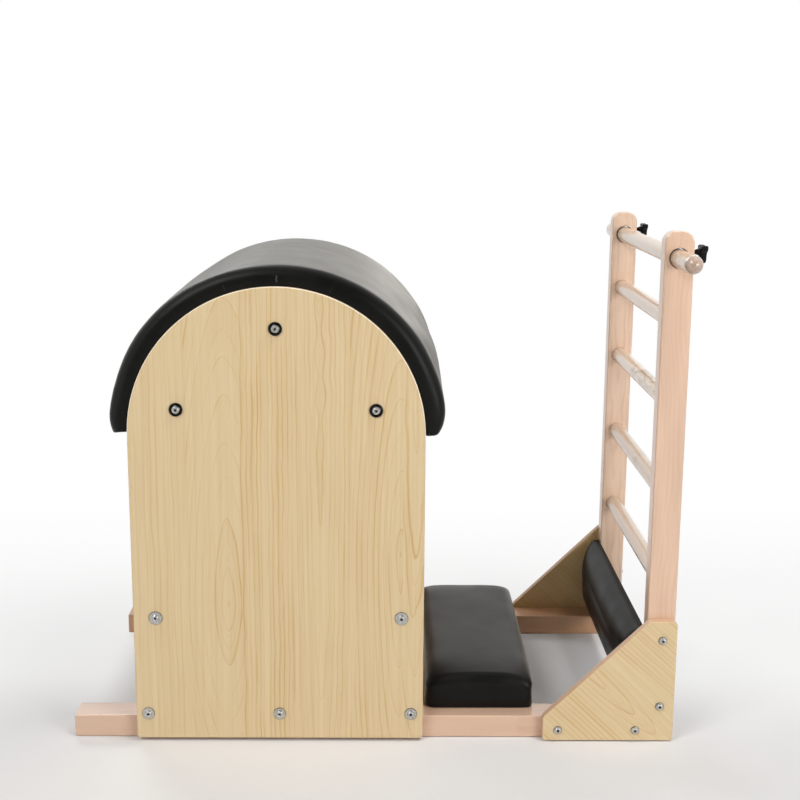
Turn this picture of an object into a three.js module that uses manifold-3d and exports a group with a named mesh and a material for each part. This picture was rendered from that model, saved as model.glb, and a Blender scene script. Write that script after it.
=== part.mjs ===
// Pilates ladder barrel: a padded half barrel on two base rails, a seat pad and a wall ladder.
// Millimetres, +Z up. The ladder stands towards +X, the far side is +Y, and the floor is z = 0.
// Places are counted from the axis of the dome, then the whole is moved so that the origin is
// at the middle of the footprint.

import * as THREE from 'three';
import { mergeVertices } from 'three/addons/utils/BufferGeometryUtils.js';
import Module from 'manifold-3d';

const wasm = await Module();
wasm.setup();

// Gaps, broken edges and boards that several pieces share
const seatGap = 0.3;
const boardThick = 18;
const boardArris = 2;
const timberArris = 3;
const overrun = 5;

// Frame: the rails and uprights stand between the side panels and the gussets
const frame = {
  halfWidth: 303,
  railWidth: 60,
  railHeight: 45,
  railRear: 406,
  uprightFront: 717,
  uprightWidth: 55,
  uprightThick: 36,
  uprightTop: 1000,
  uprightRound: 22,
};

// Ladder: the bar's hole below the uprights' tops, and the rungs at shares of that height
const ladder = {
  barBelowTop: 48,
  rungShares: [0.872, 0.708, 0.521, 0.335],
  rungRadius: 17,
  rungSocket: 20,
  barRadius: 17,
  barOverhang: 130,
  barSlack: 2,
};

// Hand screws that clamp the bar, a little above its axis
const handScrew = {
  rise: 9.5,
  studRadius: 3,
  tipRadius: 2.6,
  tipLength: 3,
  insertRadius: 5.5,
  standOff: 3.5,
  hubLength: 9.5,
  hubTipRadius: 3.9,
  hubRootRadius: 7,
  headThick: 13,
  headRadius: 21,
  lobeDepth: 11,
  lobeSharpness: 2.5,
  headArris: 2.5,
  lobes: 3,
};

// Gussets that tie the uprights to the rails
const gusset = {
  length: 257,
  rearProud: 1,
  top: 249.5,
  noseAboveRail: 5.5,
  topSetBack: 1.5,
  lift: 2,
  noseRound: 12,
  footRound: 6,
  topRound: 10,
};

// Barrel body
const barrel = {
  radius: 280,
  springHeight: 616.5,
  panelLift: 6,
  panelCorner: 5,
  deckThick: 12,
  ribFoot: 24,
  runnerThick: 25,
  crossbarHeight: 255,
  crossbarInset: 43,
  crossbarWidth: 40,
  crossbarDepth: 60,
};

// Barrel pad
const barrelPad = {
  thick: 39.5,
  edgeRound: 24,
  crown: 1.5,
  drawIn: 4,
  endRound: 7,
};

// Seat pad between the barrel and the ladder
const seat = {
  barrelGap: 4,
  length: 221,
  sideInset: 33,
  boardThick: 12,
  boardInset: 6,
  thick: 75,
  crown: 5,
  edgeRound: 34,
  cornerRound: 18,
  drawIn: 2,
};

// Kick pad in front of the uprights' feet
const kick = {
  sideInset: 3,
  bottomGap: 2,
  top: 225,
  boardThick: 6,
  padInset: 1,
  thick: 26,
  crown: 5,
  edgeRound: 19,
  cornerRound: 14,
  drawIn: 2,
  boltHeight: 144,
};

// Bolts: shank, washer and domed head, and how far each bites into what it holds
const panelBolt = {
  shankRadius: 4,
  washerRadius: 12,
  washerThick: 1.6,
  headRadius: 7,
  headHeight: 4.2,
  socketRadius: 2.6,
  socketDepth: 2.4,
};
const domeBolt = { ...panelBolt, washerRadius: 13, washerThick: 2.4, headRadius: 8.2 };
const gussetBolt = { ...panelBolt, washerRadius: 8.3, washerThick: 1.2, headRadius: 6.6 };
const kickBolt = {
  shankRadius: 3,
  washerRadius: 6.5,
  washerThick: 0.8,
  headRadius: 5.2,
  headHeight: 3,
  socketRadius: 2,
  socketDepth: 1.8,
};
const bite = { rib: 12, timber: 26, endGrain: 34, kickBoard: 4.5, seatBoard: 9 };
const boltPlaces = {
  domeTopInset: 78,
  domeSideInset: 93,
  domeSideRise: 49,
  runnerInset: 23.5,
  belowGussetTop: 38.5,
  aboveRail: 29.5,
  behindGussetFront: 30,
  aheadOfUpright: 19,
  belowRailTop: 21,
  seatInset: 15,
  seatSinkRadius: 9,
  seatSinkDepth: 9,
};

// How finely round shapes are cut
const facets = { hole: 10, bolt: 8, rung: 20, bar: 24, dome: 40, corner: 5, knob: 36, pad: 9 };

// Sizes that follow from the ones above
const uprightRear = frame.uprightFront + frame.uprightWidth;
const barPlace = frame.uprightFront + frame.uprightWidth / 2;
const barHoleHeight = frame.uprightTop - ladder.barBelowTop;
const gussetFront = uprightRear + gusset.rearProud - gusset.length;
const crossbarPlace = barrel.radius - barrel.crossbarInset;
const seatRear = barrel.radius + seat.barrelGap;
const seatHalfWidth = frame.halfWidth - seat.sideInset;
const kickHalfWidth = frame.halfWidth - kick.sideInset;
const panelInner = frame.halfWidth + seatGap;
const panelOuter = panelInner + boardThick;
const uprightInner = frame.halfWidth - frame.uprightThick;
const uprightMiddle = frame.halfWidth - frame.uprightThick / 2;
const railInner = frame.halfWidth - frame.railWidth;
const barHoleRadius = ladder.barRadius + ladder.barSlack;
const barDrop = ladder.barSlack - seatGap;
const barAxisHeight = barHoleHeight - barDrop;
const screwHeight = barHoleHeight + handScrew.rise;
const hubPlace = uprightRear + handScrew.standOff;
const headPlace = hubPlace + handScrew.hubLength;
const knobEnd = headPlace + handScrew.headThick;
const seatBoardBase = frame.railHeight + seatGap;
const kickBottom = frame.railHeight + kick.bottomGap;
const middle = (knobEnd - frame.railRear) / 2;

// Colours and shine of the stock
const finishes = {
  board: { color: 0xe0cda2, roughness: 0.45, metalness: 0 },
  beech: { color: 0xe3c9b2, roughness: 0.5, metalness: 0 },
  lacquered: { color: 0xe6dccb, roughness: 0.25, metalness: 0 },
  plywood: { color: 0xd9c4a0, roughness: 0.6, metalness: 0 },
  vinyl: { color: 0x1c1c1a, roughness: 0.45, metalness: 0 },
  steel: { color: 0xc4c6c8, roughness: 0.3, metalness: 1 },
  black: { color: 0x15151a, roughness: 0.5, metalness: 0 },
  nylon: { color: 0xe8e4da, roughness: 0.5, metalness: 0 },
};

const assembly = new THREE.Group();
assembly.position.x = -middle;

// Adds one named piece to the assembly.
function piece(name, geometry, finish, place = [0, 0, 0], turn = [0, 0, 0]) {
  const mesh = new THREE.Mesh(geometry, new THREE.MeshStandardMaterial(finishes[finish]));
  mesh.name = name;
  mesh.position.set(...place);
  mesh.rotation.set(...turn);
  assembly.add(mesh);
  return mesh;
}

// Makes a solid of a closed geometry.
function solidOf(geometry) {
  const bare = geometry.clone();
  bare.deleteAttribute('normal');
  bare.deleteAttribute('uv');
  const merged = mergeVertices(bare);
  return new wasm.Manifold(
    new wasm.Mesh({
      numProp: 3,
      vertProperties: new Float32Array(merged.attributes.position.array),
      triVerts: new Uint32Array(merged.index.array),
    }),
  );
}

// Makes a geometry of a solid.
function geometryOf(solid) {
  const mesh = solid.getMesh();
  const geometry = new THREE.BufferGeometry();
  geometry.setAttribute('position', new THREE.BufferAttribute(mesh.vertProperties, 3));
  geometry.setIndex(new THREE.BufferAttribute(mesh.triVerts, 1));
  return geometry;
}

// Cuts every tool out of a body.
function cut(body, tools) {
  return geometryOf(tools.reduce((solid, tool) => solid.subtract(solidOf(tool)), solidOf(body)));
}

// Joins pieces into one body.
function join(parts) {
  return geometryOf(parts.map(solidOf).reduce((whole, part) => whole.add(part)));
}

// A round rod or cone from one point to another.
function rod(radius, from, to, sides, endRadius = radius) {
  const start = new THREE.Vector3(...from);
  const run = new THREE.Vector3(...to).sub(start);
  const geometry = new THREE.CylinderGeometry(endRadius, radius, run.length(), sides);
  geometry.translate(0, run.length() / 2, 0);
  const turn = new THREE.Quaternion().setFromUnitVectors(
    new THREE.Vector3(0, 1, 0),
    run.clone().normalize(),
  );
  geometry.applyQuaternion(turn);
  return geometry.translate(...from);
}

// Radius of a cutter whose flats clear a rod of the given radius.
function clearRadius(radius) {
  return (radius + seatGap) / Math.cos(Math.PI / facets.hole);
}

// A plain block between two corners.
function block(low, high) {
  const size = high.map((value, index) => value - low[index]);
  const centre = high.map((value, index) => (value + low[index]) / 2);
  return new THREE.BoxGeometry(...size).translate(...centre);
}

// A board seen from the side, in X and Z, that fills y from 'inner' to 'outer' with broken edges.
function board(outline, inner, outer, arris) {
  const thick = Math.abs(outer - inner);
  const geometry = new THREE.ExtrudeGeometry(new THREE.Shape(outline), {
    depth: thick - 2 * arris,
    bevelEnabled: arris > 0,
    bevelThickness: arris,
    bevelSize: arris,
    bevelOffset: -arris,
    bevelSegments: 1,
  });
  geometry.rotateX(Math.PI / 2);
  return geometry.translate(0, Math.max(inner, outer) - arris, 0);
}

// The points of a closed outline through corners, each rounded by its own radius.
function roundedOutline(corners) {
  const count = corners.length;
  return corners.flatMap(([x, z, radius], index) => {
    const here = new THREE.Vector2(x, z);
    if (radius === 0) {
      return [here];
    }
    const before = new THREE.Vector2(...corners[(index + count - 1) % count]);
    const after = new THREE.Vector2(...corners[(index + 1) % count]);
    const entry = here.clone().add(before.sub(here).setLength(radius));
    const leave = here.clone().add(after.sub(here).setLength(radius));
    return new THREE.QuadraticBezierCurve(entry, here, leave).getPoints(facets.corner);
  });
}

// The points of the half circle of the dome at a radius, from the front to the rear.
function arch(radius) {
  const points = [];
  for (let step = 0; step <= facets.dome; step += 1) {
    const angle = (step / facets.dome) * Math.PI;
    points.push(
      new THREE.Vector2(
        radius * Math.cos(angle),
        barrel.springHeight + radius * Math.sin(angle),
      ),
    );
  }
  return points;
}

// A rectangle in X and Z with sharp corners.
function rectangle(left, right, bottom, top) {
  return roundedOutline([
    [left, bottom, 0],
    [right, bottom, 0],
    [right, top, 0],
    [left, top, 0],
  ]);
}

// A closed skin over a row of rings that all hold the same number of points, with domed ends.
function loft(rings) {
  const count = rings[0].length;
  const points = rings.flat();
  const faces = [];
  for (let level = 0; level + 1 < rings.length; level += 1) {
    for (let step = 0; step < count; step += 1) {
      const a = level * count + step;
      const b = level * count + ((step + 1) % count);
      faces.push(a, b, b + count, a, b + count, a + count);
    }
  }
  [rings[0], rings[rings.length - 1]].forEach((ring, end) => {
    const hub = points.length;
    const sum = ring.reduce((total, point) => total.add(point), new THREE.Vector3());
    points.push(sum.divideScalar(count));
    const base = end * (rings.length - 1) * count;
    for (let step = 0; step < count; step += 1) {
      const pair = [base + step, base + ((step + 1) % count)];
      faces.push(hub, pair[1 - end], pair[end]);
    }
  });
  const geometry = new THREE.BufferGeometry().setFromPoints(points);
  geometry.setIndex(faces);
  return geometry;
}

// A ring of points round a rectangle with round corners, at height z.
function padRing(halfX, halfY, corner, z) {
  const ring = [];
  for (let side = 0; side < 4; side += 1) {
    const signX = side === 0 || side === 3 ? 1 : -1;
    const signY = side < 2 ? 1 : -1;
    for (let step = 0; step <= facets.pad; step += 1) {
      const angle = ((side + step / facets.pad) * Math.PI) / 2;
      ring.push(
        new THREE.Vector3(
          signX * (halfX - corner) + corner * Math.cos(angle),
          signY * (halfY - corner) + corner * Math.sin(angle),
          z,
        ),
      );
    }
  }
  return ring;
}

// A pad that lies on z = 0: drawn-in sides, a rounded top edge and a crown in the middle.
function padGeometry({ length, width, thick, crown, edgeRound, cornerRound, drawIn }) {
  const halfX = length / 2;
  const halfY = width / 2;
  const sideHeight = thick - edgeRound;
  const rings = [padRing(halfX - drawIn, halfY - drawIn, cornerRound, 0)];
  rings.push(padRing(halfX, halfY, cornerRound, sideHeight / 2));
  const roundSteps = 5;
  for (let step = 0; step <= roundSteps; step += 1) {
    const angle = (step / roundSteps) * (Math.PI / 2);
    const inset = edgeRound * (1 - Math.cos(angle));
    const z = sideHeight + edgeRound * Math.sin(angle);
    rings.push(padRing(halfX - inset, halfY - inset, Math.max(cornerRound, inset), z));
  }
  const crownShares = [0.85, 0.65, 0.4, 0.15];
  const topX = halfX - edgeRound;
  const topY = halfY - edgeRound;
  crownShares.forEach((share) => {
    const rise = crown * (1 - share * share);
    const corner = Math.max(cornerRound, edgeRound) * share;
    rings.push(padRing(topX * share, topY - topX * (1 - share), corner, thick + rise));
  });
  return loft(rings);
}

// A bolt whose head stands on y = 0 and points to +Y; the shank runs down for 'length'.
function boltGeometry(kind, length) {
  const headBase = kind.washerThick;
  const headTop = kind.washerThick + kind.headHeight;
  const shoulderShare = 0.62;
  const crownShare = 0.72;
  const profile = [
    [0, -length],
    [kind.shankRadius, -length],
    [kind.shankRadius, 0],
    [kind.washerRadius, 0],
    [kind.washerRadius, headBase],
    [kind.headRadius, headBase],
    [kind.headRadius * crownShare, headBase + kind.headHeight * shoulderShare + seatGap],
    [kind.socketRadius, headTop],
    [kind.socketRadius, headTop - kind.socketDepth],
    [0, headTop - kind.socketDepth],
  ];
  const points = profile.map(([x, y]) => new THREE.Vector2(x, y));
  return new THREE.LatheGeometry(points, facets.bolt);
}

// The hole that a bolt across the frame needs, at x and z, between two values of y.
function crossHole(radius, x, z, from, to) {
  return rod(clearRadius(radius), [x, from, z], [x, to, z], facets.hole);
}

// Bolts that go through the side panels: kind, place in X and Z, and bite
function panelBolts() {
  const { radius, springHeight, crossbarHeight, runnerThick } = barrel;
  const domeTop = springHeight + radius - boltPlaces.domeTopInset;
  const domeSide = springHeight + boltPlaces.domeSideRise;
  const domeReach = radius - boltPlaces.domeSideInset;
  const runnerReach = radius - boltPlaces.runnerInset;
  const runnerMiddle = frame.railHeight + seatGap + runnerThick / 2;
  return [
    ['dome_bolt_top', domeBolt, 0, domeTop, bite.rib],
    ['dome_bolt_rear', domeBolt, -domeReach, domeSide, bite.rib],
    ['dome_bolt_front', domeBolt, domeReach, domeSide, bite.rib],
    ['crossbar_bolt_rear', panelBolt, -crossbarPlace, crossbarHeight, bite.endGrain],
    ['crossbar_bolt_front', panelBolt, crossbarPlace, crossbarHeight, bite.endGrain],
    ['runner_bolt_rear', panelBolt, -runnerReach, runnerMiddle, bite.timber],
    ['runner_bolt_middle', panelBolt, 0, runnerMiddle, bite.timber],
    ['runner_bolt_front', panelBolt, runnerReach, runnerMiddle, bite.timber],
  ];
}

// Bolts that go through the gussets, two into the upright and two into the rail
function gussetBolts() {
  const high = gusset.top - boltPlaces.belowGussetTop;
  const low = frame.railHeight + boltPlaces.aboveRail;
  const inRail = frame.railHeight - boltPlaces.belowRailTop;
  const rear = frame.uprightFront - boltPlaces.aheadOfUpright;
  const front = gussetFront + boltPlaces.behindGussetFront;
  return [
    ['gusset_bolt_high', gussetBolt, barPlace, high, bite.timber],
    ['gusset_bolt_low', gussetBolt, barPlace, low, bite.timber],
    ['gusset_bolt_rear', gussetBolt, rear, inRail, bite.timber],
    ['gusset_bolt_front', gussetBolt, front, inRail, bite.timber],
  ];
}

// The blind holes that a set of bolts leaves in the pieces behind a board on one side.
function blindHoles(bolts, side) {
  return bolts.map(([, kind, x, z, depth]) =>
    crossHole(kind.shankRadius, x, z, side * panelOuter, side * (frame.halfWidth - depth - seatGap)),
  );
}

// The through holes of a set of bolts in a board on one side.
function throughHoles(bolts, side) {
  return bolts.map(([, kind, x, z]) =>
    crossHole(kind.shankRadius, x, z, side * (panelInner - overrun), side * (panelOuter + overrun)),
  );
}

// Picks the bolts whose names hold a word.
function named(bolts, word) {
  return bolts.filter(([name]) => name.includes(word));
}

// Puts in a set of bolts on one side, with their heads outwards.
function addBolts(bolts, side, sideName) {
  bolts.forEach(([name, kind, x, z, depth]) => {
    const reach = boardThick + 2 * seatGap + depth;
    const turn = side < 0 ? Math.PI : 0;
    const finish = name.includes('dome') ? 'black' : 'steel';
    const place = [x, side * (panelOuter + seatGap), z];
    piece(`${sideName}_${name}`, boltGeometry(kind, reach), finish, place, [turn, 0, 0]);
  });
}

// Side panel: a tall board with a round head.
function sidePanel(side) {
  const { radius, springHeight, panelLift, panelCorner } = barrel;
  const foot = roundedOutline([
    [radius, springHeight, 0],
    [-radius, springHeight, 0],
    [-radius, panelLift, panelCorner],
    [radius, panelLift, panelCorner],
  ]).slice(2);
  const outline = [...foot, ...arch(radius)];
  const blank = board(outline, side * panelInner, side * panelOuter, boardArris);
  return cut(blank, throughHoles(panelBolts(), side));
}

// Rib: a half round board inside a panel that carries the bent deck.
function rib(side) {
  const radius = barrel.radius - barrel.deckThick - seatGap;
  const foot = barrel.springHeight - barrel.ribFoot;
  const outline = [new THREE.Vector2(-radius, foot), new THREE.Vector2(radius, foot), ...arch(radius)];
  const inner = side * (frame.halfWidth - boardThick);
  const blank = board(outline, inner, side * frame.halfWidth, 0);
  return cut(blank, blindHoles(named(panelBolts(), 'dome'), side));
}

// Deck: a bent sheet over the ribs, as wide as the gap between the panels.
function deck() {
  const outline = [...arch(barrel.radius), ...arch(barrel.radius - barrel.deckThick).reverse()];
  return board(outline, -frame.halfWidth, frame.halfWidth, 0);
}

// Half of the barrel pad's section, as pairs of y and radius, from its foot to the crown.
function barrelPadSection(shrink) {
  const { thick, edgeRound, crown, drawIn } = barrelPad;
  const half = frame.halfWidth - shrink;
  const inside = (barrel.radius + seatGap) / Math.cos(Math.PI / 2 / facets.dome);
  const outside = inside + thick - shrink;
  const section = [[half - drawIn, inside]];
  section.push([half, inside + (thick - edgeRound) / 2]);
  const roundSteps = 5;
  for (let step = 0; step <= roundSteps; step += 1) {
    const angle = (step / roundSteps) * (Math.PI / 2);
    const y = half - edgeRound + edgeRound * Math.cos(angle);
    section.push([y, outside - edgeRound + edgeRound * Math.sin(angle)]);
  }
  const crownShares = [0.75, 0.4];
  crownShares.forEach((share) => {
    section.push([(half - edgeRound) * share, outside + crown * (1 - share * share)]);
  });
  return section;
}

// Barrel pad: the section swept over the half round, smaller at its two ends.
function barrelPadSkin() {
  const { endRound, thick } = barrelPad;
  const endTurn = (endRound * 2) / (barrel.radius + thick);
  const places = [
    [0, endRound],
    [endTurn / 4, endRound * (1 - Math.SQRT1_2)],
  ];
  const steps = facets.dome - 2;
  for (let step = 0; step <= steps; step += 1) {
    places.push([endTurn + ((Math.PI - 2 * endTurn) * step) / steps, 0]);
  }
  const [last, beforeLast] = places;
  places.push([Math.PI - beforeLast[0], beforeLast[1]], [Math.PI, last[1]]);
  const rings = places.map(([angle, shrink]) => {
    const half = barrelPadSection(shrink);
    const mirrored = half.map(([y, radius]) => [-y, radius]);
    return [...mirrored, ...half.reverse()].map(
      ([y, radius]) =>
        new THREE.Vector3(
          radius * Math.cos(angle),
          y,
          barrel.springHeight + radius * Math.sin(angle),
        ),
    );
  });
  return loft(rings);
}

// Runner: the batten inside a panel that lies on the rail.
function runner(side) {
  const bottom = frame.railHeight + seatGap;
  const shape = rectangle(-barrel.radius, barrel.radius, bottom, bottom + barrel.runnerThick);
  const blank = board(shape, side * railInner, side * frame.halfWidth, boardArris);
  return cut(blank, blindHoles(named(panelBolts(), 'runner'), side));
}

// Crossbar: ties the two panels to each other below the dome.
function crossbar(end) {
  const centre = end * crossbarPlace;
  const half = barrel.crossbarWidth / 2;
  const bottom = barrel.crossbarHeight - barrel.crossbarDepth / 2;
  const shape = rectangle(centre - half, centre + half, bottom, bottom + barrel.crossbarDepth);
  const blank = board(shape, -frame.halfWidth, frame.halfWidth, boardArris);
  const word = end < 0 ? 'crossbar_bolt_rear' : 'crossbar_bolt_front';
  const bolts = named(panelBolts(), word);
  return cut(blank, [...blindHoles(bolts, -1), ...blindHoles(bolts, 1)]);
}

// Places of the two bolts that hold the seat board down on the rails
function seatBoltPlace(side) {
  return [seatRear + seat.length / 2, side * (railInner + boltPlaces.seatInset)];
}

// Base rail: runs under the barrel and the seat to the foot of the upright.
function rail(side) {
  const shape = rectangle(-frame.railRear, uprightRear, 0, frame.railHeight);
  const blank = board(shape, side * railInner, side * frame.halfWidth, timberArris);
  const [x, y] = seatBoltPlace(side);
  const sink = boltPlaces.seatSinkDepth;
  const seatHole = [
    rod(clearRadius(kickBolt.shankRadius), [x, y, 0], [x, y, frame.railHeight + overrun], facets.hole),
    rod(boltPlaces.seatSinkRadius, [x, y, -overrun], [x, y, sink], facets.hole),
  ];
  const railBolts = gussetBolts().filter(([, , , z]) => z < frame.railHeight);
  return cut(blank, [...seatHole, ...blindHoles(railBolts, side)]);
}

// Upright: stands on the rail's end, with a round head, rung sockets and the bar's hole.
function upright(side) {
  const bottom = frame.railHeight + seatGap;
  const top = frame.uprightTop;
  const shape = roundedOutline([
    [frame.uprightFront, bottom, 0],
    [uprightRear, bottom, 0],
    [uprightRear, top, frame.uprightRound],
    [frame.uprightFront, top, frame.uprightRound],
  ]);
  const inner = side * uprightInner;
  const outer = side * frame.halfWidth;
  const blank = board(shape, inner, outer, timberArris);
  const socketEnd = side * (uprightInner + ladder.rungSocket + seatGap);
  const sockets = rungHeights().map((z) =>
    crossHole(ladder.rungRadius, barPlace, z, side * (uprightInner - overrun), socketEnd),
  );
  const barHole = rod(
    barHoleRadius,
    [barPlace, inner - side * overrun, barHoleHeight],
    [barPlace, outer + side * overrun, barHoleHeight],
    facets.bar,
  );
  const insertHole = rod(
    clearRadius(handScrew.insertRadius),
    [barPlace, side * uprightMiddle, screwHeight],
    [uprightRear + overrun, side * uprightMiddle, screwHeight],
    facets.hole,
  );
  const kickHole = rod(
    clearRadius(kickBolt.shankRadius),
    [frame.uprightFront - overrun, side * uprightMiddle, kick.boltHeight],
    [uprightRear + overrun, side * uprightMiddle, kick.boltHeight],
    facets.hole,
  );
  const uprightBolts = gussetBolts().filter(([, , , z]) => z > frame.railHeight);
  return cut(blank, [...sockets, barHole, insertHole, kickHole, ...blindHoles(uprightBolts, side)]);
}

// Heights of the fixed rungs, from the highest down.
function rungHeights() {
  return ladder.rungShares.map((share) => share * barHoleHeight);
}

// Fixed rung: a dowel glued into both uprights.
function rung(height) {
  const reach = uprightInner + ladder.rungSocket;
  return rod(ladder.rungRadius, [barPlace, -reach, height], [barPlace, reach, height], facets.rung);
}

// Top bar: a longer dowel with round ends that slides through both uprights.
function topBar() {
  const { barRadius, barOverhang } = ladder;
  const straight = frame.halfWidth + barOverhang - barRadius;
  const roundSteps = 5;
  const profile = [];
  for (let step = 0; step <= roundSteps; step += 1) {
    const angle = (step / roundSteps) * (Math.PI / 2);
    profile.push([barRadius * Math.sin(angle), -straight - barRadius * Math.cos(angle)]);
  }
  const mirrored = profile.map(([radius, y]) => [radius, -y]).reverse();
  const points = [...profile, ...mirrored].map(([radius, y]) => new THREE.Vector2(radius, y));
  points[0].x = 0;
  points[points.length - 1].x = 0;
  return new THREE.LatheGeometry(points, facets.bar);
}

// Gusset: a board with a slanting edge that joins a rail to an upright.
function gussetBoard(side) {
  const rear = gussetFront + gusset.length;
  const noseHeight = frame.railHeight + gusset.noseAboveRail;
  const shape = roundedOutline([
    [gussetFront, gusset.lift, gusset.footRound],
    [rear, gusset.lift, gusset.footRound],
    [rear, gusset.top, gusset.topRound],
    [frame.uprightFront + gusset.topSetBack, gusset.top, gusset.topRound],
    [gussetFront, noseHeight, gusset.noseRound],
  ]);
  const blank = board(shape, side * panelInner, side * panelOuter, boardArris);
  return cut(blank, throughHoles(gussetBolts(), side));
}

// Threaded insert in the rear edge of an upright.
function insert() {
  const { insertRadius, studRadius } = handScrew;
  const start = barPlace + barHoleRadius + seatGap;
  const outer = rod(insertRadius, [start, 0, 0], [uprightRear, 0, 0], facets.hole);
  const bore = rod(
    clearRadius(studRadius),
    [start - overrun, 0, 0],
    [uprightRear + overrun, 0, 0],
    facets.hole,
  );
  return cut(outer, [bore]);
}

// Where the tip of the hand screw meets the bar.
function tipPlace() {
  const above = screwHeight - handScrew.tipRadius - barAxisHeight;
  return barPlace + Math.sqrt(ladder.barRadius ** 2 - above ** 2) + seatGap;
}

// Tip that presses on the bar, in front of the stud.
function pressurePad() {
  const start = tipPlace();
  return rod(handScrew.tipRadius, [start, 0, 0], [start + handScrew.tipLength, 0, 0], facets.hole);
}

// Knob: a lobed grip and a hub moulded on the stud.
function knob() {
  const { headRadius, lobeDepth, lobeSharpness, lobes, headThick, headArris } = handScrew;
  const studStart = tipPlace() + handScrew.tipLength + seatGap;
  const outline = [];
  for (let step = 0; step < facets.knob; step += 1) {
    const angle = (step / facets.knob) * 2 * Math.PI;
    const lobe = ((1 + Math.cos(lobes * angle)) / 2) ** lobeSharpness;
    const radius = headRadius - lobeDepth * (1 - lobe);
    outline.push(new THREE.Vector2(radius * Math.cos(angle), radius * Math.sin(angle)));
  }
  const grip = new THREE.ExtrudeGeometry(new THREE.Shape(outline), {
    depth: headThick - 2 * headArris,
    bevelThickness: headArris,
    bevelSize: headArris,
    bevelOffset: -headArris,
    bevelSegments: 1,
  });
  grip.rotateY(Math.PI / 2);
  grip.translate(headPlace + headArris, 0, 0);
  const hubEnd = [headPlace + headThick / 2, 0, 0];
  const hub = rod(handScrew.hubTipRadius, [hubPlace, 0, 0], hubEnd, facets.rung, handScrew.hubRootRadius);
  const stud = rod(handScrew.studRadius, [studStart, 0, 0], hubEnd, facets.hole);
  return join([grip, hub, stud]);
}

// Seat board: the sheet under the seat pad, across both rails.
function seatBoard() {
  const low = [seatRear + seat.boardInset, -seatHalfWidth + seat.boardInset, seatBoardBase];
  const high = [
    seatRear + seat.length - seat.boardInset,
    seatHalfWidth - seat.boardInset,
    seatBoardBase + seat.boardThick,
  ];
  const holes = [-1, 1].map((side) => {
    const [x, y] = seatBoltPlace(side);
    const top = seatBoardBase + bite.seatBoard + seatGap;
    return rod(clearRadius(kickBolt.shankRadius), [x, y, 0], [x, y, top], facets.hole);
  });
  return cut(block(low, high), holes);
}

// Seat pad: wraps the board's edges and lies on the rails.
function seatPad() {
  const body = padGeometry({ ...seat, width: 2 * seatHalfWidth });
  const pocketX = seat.length / 2 - seat.boardInset + seatGap;
  const pocketY = seatHalfWidth - seat.boardInset + seatGap;
  const pocket = block(
    [-pocketX, -pocketY, -overrun],
    [pocketX, pocketY, seat.boardThick + seatGap],
  );
  return cut(body, [pocket]);
}

// Kick board: the sheet behind the kick pad, bolted to both uprights.
function kickBoard() {
  const rear = frame.uprightFront - seatGap;
  const low = [rear - kick.boardThick, -kickHalfWidth, kickBottom];
  const high = [rear, kickHalfWidth, kick.top];
  const holes = [-1, 1].map((side) =>
    rod(
      clearRadius(kickBolt.shankRadius),
      [rear + overrun, side * uprightMiddle, kick.boltHeight],
      [rear - bite.kickBoard - seatGap, side * uprightMiddle, kick.boltHeight],
      facets.hole,
    ),
  );
  return cut(block(low, high), holes);
}

// Kick pad: made lying down and then stood up with its crown towards the barrel.
function kickPad() {
  const height = kick.top - kickBottom - 2 * kick.padInset;
  const width = 2 * (kickHalfWidth - kick.padInset);
  return padGeometry({ ...kick, length: height, width });
}

// The barrel with its pad, boards and bolts
function addBarrel() {
  piece('barrel_deck', deck(), 'plywood');
  piece('barrel_pad', barrelPadSkin(), 'vinyl');
  piece('rear_crossbar', crossbar(-1), 'beech');
  piece('front_crossbar', crossbar(1), 'beech');
}

// The seat between barrel and ladder
function addSeat() {
  piece('seat_board', seatBoard(), 'plywood');
  piece('seat_pad', seatPad(), 'vinyl', [seatRear + seat.length / 2, 0, seatBoardBase]);
}

// The kick pad at the ladder's foot
function addKickPad() {
  const padBase = frame.uprightFront - kick.boardThick - 2 * seatGap;
  piece('kick_board', kickBoard(), 'plywood');
  const place = [padBase, 0, (kick.top + kickBottom) / 2];
  piece('kick_pad', kickPad(), 'vinyl', place, [0, -Math.PI / 2, 0]);
}

// The rungs and the bar
function addRungs() {
  rungHeights().forEach((height, index) => piece(`rung_${index + 1}`, rung(height), 'lacquered'));
  piece('top_bar', topBar(), 'lacquered', [barPlace, 0, barAxisHeight]);
}

// A hand screw on one side
function addHandScrew(side, sideName) {
  const place = [0, side * uprightMiddle, screwHeight];
  piece(`${sideName}_thread_insert`, insert(), 'steel', place);
  piece(`${sideName}_pressure_pad`, pressurePad(), 'nylon', place);
  piece(`${sideName}_knob`, knob(), 'black', place);
}

// The small bolts that hold the kick board and the seat board on one side
function addHiddenBolts(side, sideName) {
  const kickReach = frame.uprightWidth + 2 * seatGap + bite.kickBoard;
  const kickPlace = [uprightRear + seatGap, side * uprightMiddle, kick.boltHeight];
  const kickTurn = [0, 0, -Math.PI / 2];
  piece(`${sideName}_kick_board_bolt`, boltGeometry(kickBolt, kickReach), 'steel', kickPlace, kickTurn);
  const sink = boltPlaces.seatSinkDepth - seatGap;
  const seatReach = frame.railHeight - sink + seatGap + bite.seatBoard;
  const [x, y] = seatBoltPlace(side);
  const seatTurn = [-Math.PI / 2, 0, 0];
  piece(`${sideName}_seat_bolt`, boltGeometry(kickBolt, seatReach), 'steel', [x, y, sink], seatTurn);
}

// Everything that is there twice, on the near and the far side
function addSide(side, sideName) {
  piece(`${sideName}_side_panel`, sidePanel(side), 'board');
  piece(`${sideName}_rib`, rib(side), 'board');
  piece(`${sideName}_runner`, runner(side), 'beech');
  piece(`${sideName}_base_rail`, rail(side), 'beech');
  piece(`${sideName}_upright`, upright(side), 'beech');
  piece(`${sideName}_gusset`, gussetBoard(side), 'board');
  addHandScrew(side, sideName);
  addBolts(panelBolts(), side, sideName);
  addBolts(gussetBolts(), side, sideName);
  addHiddenBolts(side, sideName);
}

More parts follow.
